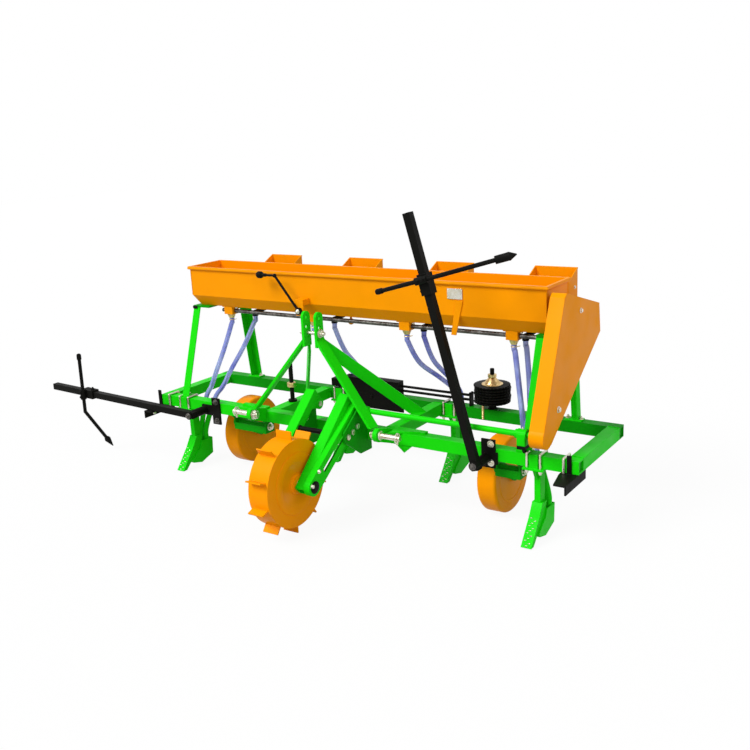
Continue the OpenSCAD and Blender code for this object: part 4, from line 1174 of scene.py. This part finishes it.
@dataclass
class Drive(Assembly):
    """The drive wheel's plates and hub, the arms' fittings and the toothed sprockets."""

    wheel: tuple[float, float, float] = (-6.0, -385.0, 213.0)
    half_width: float = 47.5
    rim: float = 179.0
    shaft: tuple[float, float] = (-60.0, 438.0)
    lugs: int = 10
    arm_out: float = 103.0
    arm_faces: tuple[float, float] = (64.0, 109.0)
    case: float = 28.0
    tilt: float = 41.9
    teeth: tuple[float, float, int] = (22.2, 27.5, 13)
    chain_x: float = 118.0
    bearing: tuple[float, float] = (846.0, 878.0)
    guard_x: float = 960.5
    guard_path: tuple[tuple[float, float], ...] = ((92, 924), (112, 938), (443, 844), (458, 730))
    guard_front: tuple[tuple[float, float], ...] = ((-98, 450), (94, 922))
    guard_bolts: tuple[tuple[float, float, float], ...] = ((34, 519, 10), (247, 850, 8))
    left_end: float = -121.0
    upper_x: float = 935.5
    seed_x: float = 920.5
    feeder: tuple[float, float] = (168.0, 750.0)
    seeder: tuple[float, float] = (401.0, 776.0)

    def up_arm(self, x: float, along: float, over: float = 0.0) -> Vector:
        """Finds a point on a drive arm.

        Args:
            x: Millimetres to the right of the middle of the front bar.
            along: Millimetres up the arm from the wheel's axle.
            over: Millimetres over the arm's axis.

        Returns:
            The point in metres.
        """
        turn = math.radians(self.tilt)
        y = self.wheel[1] + along * math.cos(turn) - over * math.sin(turn)
        z = self.wheel[2] + along * math.sin(turn) + over * math.cos(turn)
        return at(x, y, z)

    def build(self) -> None:
        """Builds the wheel's, the arms' and the shafts' details."""
        self.wheel_plates()
        self.arm_fittings()
        self.sprockets()
        self.guard_edges()

    def wheel_plates(self) -> None:
        """Builds the raised discs, hub collars and lug welds of the drive wheel."""
        x, y, z = self.wheel
        middle = at(x, y, z)
        wide = self.half_width
        plates = []
        collars = []
        for side, way in ((-1, Facing.LEFT), (1, Facing.RIGHT)):
            plates.append(Bench.turned("plate", middle, way.vector, [
                (wide - 0.5, 128), (wide + 2.5, 126), (wide + 3, 124), (wide + 3, 92),
                (wide + 0.5, 88)], 64))
            plates.append(Bench.turned("hub", middle, way.vector, [
                (wide, 42), (wide + 4, 42), (wide + 6, 35.5),
                (wide + 12.4, 35), (wide + 13, 33)], 40))
            collars.append(Bench.turned("collar", middle, way.vector, [
                (wide + 12, 19), (wide + 15.5, 19), (wide + 16, 17)], 28))
        for index in range(self.lugs):
            turn = math.radians(360 / self.lugs * index)
            way = Vector((0, -math.sin(turn), math.cos(turn)))
            across = Vector((0, way.z, -way.y))
            for side in (-1, 1):
                foot = middle + way * (self.rim * MM) + across * (side * 4 * MM)
                plates.append(Bench.weld(foot - Vector((0.034, 0, 0)), foot + Vector((0.034, 0, 0)), 6))
        self.group("wheel_plates", plates, "orange_paint", "drive_wheel")
        self.group("wheel_collars", collars, "zinc", "drive_wheel")

    def arm_fittings(self) -> None:
        """Builds the arms' end caps, spacer sleeve, guard bolts and welds."""
        caps = []
        bolts = []
        beads = []
        x_mid = self.wheel[0]
        outer = self.arm_out + self.case
        for along, over in ((-6.0, 18), (395.0, -30)):
            bolts.append(Bench.bolt(self.up_arm(outer, along, over), Facing.RIGHT.vector, 8))
        bolts.append(Bench.bolt(self.up_arm(outer, 60, 20), Facing.RIGHT.vector, 7))
        caps.append(Bench.turned("axle_cap", at(outer, *self.wheel[1:]), Facing.RIGHT.vector,
                                 [(-1, 25), (3, 25), (5, 22), (5.2, 12), (8, 11)], 32))
        sleeve = Bench.turned("sleeve", self.up_arm(x_mid - 63, 240), Facing.RIGHT.vector, [
            (0, 13), (4, 13), (4.2, 10.5), (121.8, 10.5), (122, 13), (126, 13)], 24)
        caps.append(sleeve)
        for side in (-1, 1):
            for face in self.arm_faces:
                x = x_mid + side * face
                beads.append(Bench.weld(self.up_arm(x, 350, -20), self.up_arm(x, 404, -20), 5))
        left = at(self.left_end, *self.wheel[1:])
        bolts.append(Bench.bolt(left + Vector((6 * MM, 0, 0)), Facing.LEFT.vector, 13))
        self.group("arm_caps", caps, "black_paint", "drive_arm")
        self.group("arm_bolts", bolts, "zinc", "drive_arm")
        self.group("arm_welds", beads, "green_paint", "drive_arm")

    def sprocket(self, x: float, place: tuple[float, float]) -> bpy.types.Object:
        """Models a chain sprocket with its boss at a shaft's place.

        Args:
            x: Millimetres to the right of the middle of the front bar.
            place: How far back and how high the shaft is, in millimetres.

        Returns:
            The piece.
        """
        middle = at(x, *place)
        disc = Bench.toothed("sprocket", middle, Facing.RIGHT.vector, 5.0, *self.teeth)
        boss = Bench.turned("boss", middle, Facing.RIGHT.vector, [
            (-10, 15), (-9, 16.2), (9, 16.2), (10, 15)], 28)
        return Bench.joined("sprocket", [disc, boss])

    def sprockets(self) -> None:
        """Builds the sprockets, the bearing's cover, ring and grease nipple, and the shaft's collars."""
        turns = (("cross_shaft", ((self.upper_x, self.shaft), (self.chain_x, self.shaft))),
                 ("fertiliser_shaft", ((self.upper_x, self.feeder), (self.seed_x, self.feeder))),
                 ("seed_shaft", ((self.seed_x, self.seeder),)),
                 ("drive_wheel", ((self.chain_x, self.wheel[1:]),)))
        for body, places in turns:
            made = [self.sprocket(x, place) for x, place in places]
            self.group(f"{body}_sprockets", made, "zinc", body)
        collar = Bench.turned("collar", at(self.bearing[0] - 13, *self.shaft), Facing.RIGHT.vector, [
            (0, 16), (1, 17.5), (11, 17.5), (12.4, 16)], 28)
        sleeve = Bench.turned("sleeve", at(152, *self.shaft), Facing.RIGHT.vector, [
            (0, 17), (1, 18), (24, 18), (25, 17), (25.2, 12)], 28)
        self.group("shaft_collars", [collar, sleeve], "green_paint", "cross_shaft")
        x = sum(self.bearing) / 2
        cover = Bench.block("bearing_cover", at(x - 16.8, self.shaft[0] - 20.8, self.shaft[1] - 40),
                            at(x + 16.8, self.shaft[0] + 20.8, self.shaft[1] + 6))
        collar = Bench.turned("bearing_ring", at(x - 17.5, *self.shaft), Facing.RIGHT.vector, [
            (-1, 14.5), (-1, 20.6), (36, 20.6), (36, 14.5)], 32)
        self.group("bearing_cover", [cover, collar], "green_paint")
        nipple = Bench.turned("nipple", at(x, self.shaft[0], self.shaft[1] + 20), Facing.UP.vector, [
            (0, 4), (4, 4), (5, 2.4), (8, 3), (9.5, 1.6)], 12)
        self.group("bearing_nipple", [nipple], "zinc")

    def guard_edges(self) -> None:
        """Builds the chain guard's folded edges and its bolts."""
        y, z = self.shaft
        corners = (*self.guard_path, (y + 30, z - 34))
        folds = []
        x = self.guard_x - 2.5
        for (y0, z0), (y1, z1) in zip(corners, corners[1:]):
            folds.append(Bench.tube("fold", [at(x, y0, z0 - 2), at(x, y1, z1 - 2)], 2.6, 2))
        folds.append(Bench.tube("fold", [at(x, *end) for end in self.guard_front], 2.6, 2))
        self.group("guard_folds", folds, "orange_paint")
        bolts = [Bench.bolt(at(self.guard_x, back, up), Facing.RIGHT.vector, across)
                 for back, up, across in self.guard_bolts]
        self.group("guard_bolts", bolts, "zinc")


@dataclass
class Chains(Assembly):
    """The three roller chains, link by link."""

    pitch: float = 12.7
    radius: float = 26.5
    loops: tuple[tuple[str, float, tuple[float, float], tuple[float, float], str], ...] = (
        ("upper_chain", 935.5, (-60.0, 438.0), (168.0, 750.0), "frame"),
        ("seed_chain", 920.5, (168.0, 750.0), (401.0, 776.0), "frame"),
        ("arm_chain", 118.0, (-385.0, 213.0), (-60.0, 438.0), "drive_arm"))

    def link(self, wide: bool) -> bpy.types.Object:
        """Models one link along +Y with its roller.

        Args:
            wide: Whether its plates are the outer ones.

        Returns:
            The piece.
        """
        gap = 3.6 if wide else 2.4
        parts = []
        for side in (-1, 1):
            x = side * gap
            plate = Bench.block("plate", Vector((x - 0.6, -1.5, -4.2)) * MM,
                                Vector((x + 0.6, self.pitch + 1.5, 4.2)) * MM, 0.0005)
            parts.append(plate)
        parts.append(Bench.turned("roller", Vector((-3.6, 0, 0)) * MM, Facing.RIGHT.vector, [
            (0, 1.8), (1.2, 1.8), (1.3, 3.9), (5.9, 3.9), (6.0, 1.8), (7.2, 1.8)], 10))
        return Bench.joined("link", parts)

    def stations(self, a: tuple[float, float], b: tuple[float, float]) -> list[tuple[Vector, float]]:
        """Steps round a loop over two sprockets.

        Args:
            a: How far back and how high the first sprocket is, in millimetres.
            b: The same of the second one.

        Returns:
            Each link's place in millimetres and its slope in radians.
        """
        start, end = Vector(a), Vector(b)
        run = (end - start).length
        slope = math.atan2(end.y - start.y, end.x - start.x)
        arc = math.pi * self.radius
        total = 2 * run + 2 * arc
        count = 2 * round(total / self.pitch / 2)
        found = []
        for index in range(count):
            s = index * total / count
            if s < run:
                local, turn = Vector((s, self.radius)), 0.0
            elif s < run + arc:
                turn = -(s - run) / self.radius
                local = Vector((run - self.radius * math.sin(turn), self.radius * math.cos(turn)))
            elif s < 2 * run + arc:
                local, turn = Vector((run - (s - run - arc), -self.radius)), math.pi
            else:
                turn = math.pi - (s - 2 * run - arc) / self.radius
                local = Vector((-self.radius * math.sin(turn), self.radius * math.cos(turn)))
            local.rotate(Matrix.Rotation(slope, 2))
            found.append((start + local, turn + slope))
        return found

    def build(self) -> None:
        """Builds the chains in place of the CAD's plain bands."""
        patterns = [self.link(True), self.link(False)]
        for name, x, a, b, body in self.loops:
            made = []
            for index, (place, slope) in enumerate(self.stations(a, b)):
                move = Matrix.Translation(at(x, place.x, place.y)) @ Matrix.Rotation(slope, 4, "X")
                made.append(Bench.copied(patterns[index % 2], move))
            chain = self.group(f"{name}_links", made, "black_paint", body)
            chain.data.materials[0] = self.finishes.chain
            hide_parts(name)
        for pattern in patterns:
            bpy.data.objects.remove(pattern)


@dataclass
class GaugeWheels(Assembly):
    """The gauge wheels' hubs and rims, and the bolts of their arms and brackets."""

    wheels: tuple[float, float] = (-700.0, 650.0)
    half_width: float = 42.0
    hub: tuple[float, float] = (205.0, 160.0)
    pivot: tuple[float, float] = (45.0, 250.0)
    hangs: tuple[tuple[float, float], ...] = ((-640.0, -450.0), (710.0, 815.0))
    weld_y: float = 16.0
    weld_z: tuple[float, float] = (224.0, 252.0)

    def build(self) -> None:
        """Builds both wheels' details and the brackets' bolts."""
        bolts = []
        wide = self.half_width
        for side, x, hang in zip(("left", "right"), self.wheels, self.hangs):
            middle = at(x, *self.hub)
            rings = []
            for way in (Facing.LEFT, Facing.RIGHT):
                rings.append(Bench.turned("ring", middle, way.vector, [
                    (wide - 0.5, 118), (wide + 1.5, 116), (wide + 1.5, 104),
                    (wide - 0.4, 102)], 56))
                rings.append(Bench.turned("hub", middle, way.vector, [
                    (wide - 0.5, 30), (wide + 4, 29), (wide + 5, 20),
                    (wide + 7, 19)], 32))
            self.group(f"gauge_rings_{side}", rings, "orange_paint", f"gauge_wheel_{side}")
            plate = x + wide + 8
            nut = Bench.bolt(at(plate + 8, *self.hub), Facing.RIGHT.vector, 15.6, stub=7)
            end = Bench.turned("end", at(x - wide - 8, *self.hub), Facing.LEFT.vector, [
                (-0.5, 14), (5, 14), (6, 12)], 24)
            self.group(f"gauge_nuts_{side}", [nut, end], "zinc", f"gauge_arm_{side}")
            bolts.append(Bench.bolt(at(hang[1], *self.pivot), Facing.RIGHT.vector, 14.6, stub=4))
            bolts.append(Bench.bolt(at(hang[0] - 7.8, *self.pivot), Facing.LEFT.vector, 11.0, washer=False))
        self.group("gauge_bolts", bolts, "zinc")
        beads = []
        for low, high in self.hangs:
            for x in (low, high):
                start, end = (at(x, self.weld_y, z) for z in self.weld_z)
                beads.append(Bench.weld(start, end, 5))
        # The welds take the brackets' dark green, which is painted shade.
        self.group("gauge_welds", beads, "dark_green_paint")


@dataclass
class Markers(Assembly):
    """The markers' bolts, tips and knobs, and the bolts of their brackets and rests."""

    pivots: tuple[tuple[float, float], ...] = ((-773.0, 312.0), (697.0, 312.0))
    y: float = -122.0
    rise: float = 1.6
    lean: float = 15.4
    clamp: float = 720.0
    rod_y: float = -29.8
    rod_up: float = 200.0
    straight: float = 92.0
    back: float = 120.0
    fall: float = 184.0
    ferrules: tuple[tuple[tuple[float, float], ...], ...] = (
        ((-12, 9), (-10, 12.6), (-3, 12.6), (-2, 15.4), (2, 15.4), (54.6, 2.4)),
        ((-26, 9), (-25, 15.0), (-14, 15.6), (24, 15.6), (27, 17.0), (31, 15.0), (54.6, 2.3)))
    nut_places: tuple[tuple[float, tuple[float, float]], ...] = ((70, (-46, 44)), (19, (-19, 57)))
    nut_y: float = -33.0
    rest_bolt: tuple[float, float, float] = (1059.0, -90.0, 276.0)

    def put(self, side: int, x: float, y: float, z: float) -> Vector:
        """Finds a point on a marker that is drawn along +X with its rod down.

        Args:
            side: 0 for the left marker and 1 for the right one.
            x: Millimetres along the arm from its pivot.
            y: Millimetres behind the arm's axis.
            z: Millimetres over the arm's axis.

        Returns:
            The point in metres.
        """
        turn = math.radians(self.rise if side == 0 else 90 + self.lean)
        along = x * math.cos(turn) - z * math.sin(turn)
        up = x * math.sin(turn) + z * math.cos(turn)
        px, pz = self.pivots[side]
        return at(px - along if side == 0 else px + along, self.y + y, pz + up)

    def build(self) -> None:
        """Builds both markers' details."""
        fixed = []
        pivots = []
        for side, name in enumerate(("left", "right")):
            body = f"marker_rod_{name}"
            bend = self.put(side, self.clamp, self.rod_y, -self.straight)
            tip = self.put(side, self.clamp, self.rod_y + self.back, -self.straight - self.fall)
            way = (tip - bend).normalized()
            ferrule = Bench.turned("ferrule", tip, way, self.ferrules[side], 28)
            top = self.put(side, self.clamp, self.rod_y, self.rod_up)
            rod_way = (self.put(side, self.clamp, self.rod_y, self.rod_up + 10) - top).normalized()
            knob = Bench.turned("knob", top, rod_way, [
                (-22, 9), (-20, 11.4), (2, 11.4), (7, 9.4), (9.5, 5)], 24)
            self.group(f"marker_tip_{name}", [ferrule, knob], "black_paint", body)
            out = (self.put(side, 0, 0, 10) - self.put(side, 0, 0, 0)).normalized()
            clamp_bolts = [Bench.bolt(self.put(side, self.clamp - 40, 0, 21.3), out, 8, stub=6)]
            for z in (12, -12):
                spot = self.put(side, self.clamp, self.rod_y - 14.3, z)
                clamp_bolts.append(Bench.bolt(spot, Facing.FRONT.vector, 6))
            self.group(f"marker_clamp_bolts_{name}", clamp_bolts, "black_paint", body)
            px, pz = self.pivots[side]
            pivots.append(Bench.bolt(at(px, self.y - 23.5, pz), Facing.FRONT.vector, 10.5, stub=5))
            shift, heights = self.nut_places[side]
            nuts = [Bench.bolt(at(px + shift, self.nut_y, pz + dz), Facing.FRONT.vector, 11, stub=5)
                    for dz in heights]
            (pivots if side == 0 else fixed).extend(nuts)
        x, y, z = self.rest_bolt
        for side in (-1, 1):
            fixed.append(Bench.bolt(at(side * x, y, z), Vector((side, 0, 0)) * -1, 7))
        self.group("marker_bolts", fixed, "zinc")
        nuts = self.group("marker_pivot_nuts", pivots, "zinc")
        nuts.data.materials[0] = self.finishes.chain


@dataclass
class Extras(Assembly):
    """The depth spindle's thread, the spare plates, the footboard and the feed lever."""

    spindle: tuple[float, float] = (-390.5, 150.0)
    top: float = 350.0
    spare: tuple[float, float] = (492.0, 432.0)
    lever: tuple[float, float, float] = (-245.0, 51.0, 800.0)
    thread_pitch: float = 8.0
    spare_count: int = 7
    spare_step: float = 12.0
    lips: tuple[tuple[tuple[float, float, float], ...], ...] = (
        ((-274, 396, 418), (31, 402.5, 422)),
        ((-200, 398, 281), (52, 401, 287)))
    board_bolts: tuple[tuple[float, float, float], ...] = (
        (-240, 400.8, 338), (-120, 400.8, 338), (0, 400.8, 338))
    step_bolts: tuple[tuple[float, float, float], ...] = ((389, 424, 406), (389, 440, 406))

    def build(self) -> None:
        """Builds the small parts that stand on the frame."""
        self.screw()
        self.plates()
        self.board()
        self.handle()

    def thread(self, name: str, foot: Vector, length: float, core: float) -> bpy.types.Object:
        """Models a threaded rod that stands up from a point.

        Args:
            name: The piece's name.
            foot: Its lower end.
            length: Its length in millimetres.
            core: The radius between its ridges, in millimetres.

        Returns:
            The piece.
        """
        steps = [(0.0, core)]
        for turn in range(int(length / self.thread_pitch)):
            z = turn * self.thread_pitch
            steps += [(z + 1.5, core + 1.1), (z + 4.5, core + 1.1), (z + 6.0, core)]
        return Bench.turned(name, foot, Facing.UP.vector, steps, 16)

    def screw(self) -> None:
        """Builds the depth spindle's thread and brass nut."""
        x, y = self.spindle
        upper = self.thread("thread", at(x, y, self.top + 92), 96, 9.3)
        lower = self.thread("thread", at(x, y, self.top + 12), 56, 9.3)
        self.group("spindle_thread", [upper, lower], "black_paint")
        nut = Bench.turned("spindle_nut", at(x, y, self.top + 70), Facing.UP.vector, [
            (0, 19), (1.5, 20.5), (20, 20.5), (21.5, 19)], 6)
        self.hand_over(nut, "brass")

    def plates(self) -> None:
        """Builds the stack of toothed spare plates with its rod, cone and nut."""
        x, y = self.spare
        stack = []
        for i in range(self.spare_count):
            middle = at(x + (i % 3 - 1) * 1.5, y, self.top + 35.5 + self.spare_step * i)
            stack.append(Bench.toothed("plate", middle, Facing.UP.vector, 6.5, 75.5, 79.5, 30))
        stack.append(Bench.turned("core", at(x, y, self.top), Facing.UP.vector, [
            (0, 22), (3, 22), (4, 16), (32, 16), (32.2, 60), (110, 60), (110.5, 9.5),
            (178, 9.5), (180, 8)], 32))
        made = self.group("spare_plate_stack", stack, "black_paint")
        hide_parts("spare_plates")
        cone = Bench.turned("cone", at(x, y, self.top + 110), Facing.UP.vector, [
            (0, 46), (3, 46), (4, 36), (8, 34), (32, 14), (33, 19), (44, 19), (45, 16)], 36)
        stud = self.thread("stud", at(x - 34, y - 26, self.top - 46), 92, 5.0)
        self.group("spare_plate_cone", [cone, stud], "brass")

    def board(self) -> None:
        """Builds the footboard's lips and bolts."""
        lips = [Bench.block("lip", at(*low), at(*high), 0.001) for low, high in self.lips]
        self.group("footboard_lips", lips, "black_paint")
        bolts = [Bench.bolt(at(*place), Facing.FRONT.vector, 7) for place in self.board_bolts]
        bolts += [Bench.bolt(at(*place), Facing.UP.vector, 6) for place in self.step_bolts]
        self.group("footboard_bolts", bolts, "black_paint")

    def handle(self) -> None:
        """Builds the feed lever's hub bolt and grip."""
        x, y, z = self.lever
        bolt = Bench.bolt(at(x, y, z), Facing.FRONT.vector, 8, stub=4)
        self.hand_over(bolt, "zinc", "feed_lever")
        bolt.name = "lever_bolt"
        grip = Bench.turned("lever_grip", at(x - 219, y + 7, z + 150), Facing.RIGHT.vector, [
            (0, 8), (3, 13), (8, 15.6), (22, 15.6), (29, 12), (32, 8), (50, 7.2)], 28)
        self.hand_over(grip, "black_paint", "feed_lever")


def main() -> None:
    """Builds the studio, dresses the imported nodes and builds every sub-assembly."""
    finishes = Finishes()
    studio = Studio()
    studio.build()
    finishes.dress_frame()
    for kind in (FrameWork, Hitch, Hopper, Hoses, Tines, Drive, Chains, GaugeWheels, Markers, Extras):
        assembly = kind(finishes)
        log.info("building %s", type(assembly).__name__)
        assembly.build()


if __name__ == "__main__":
    main()
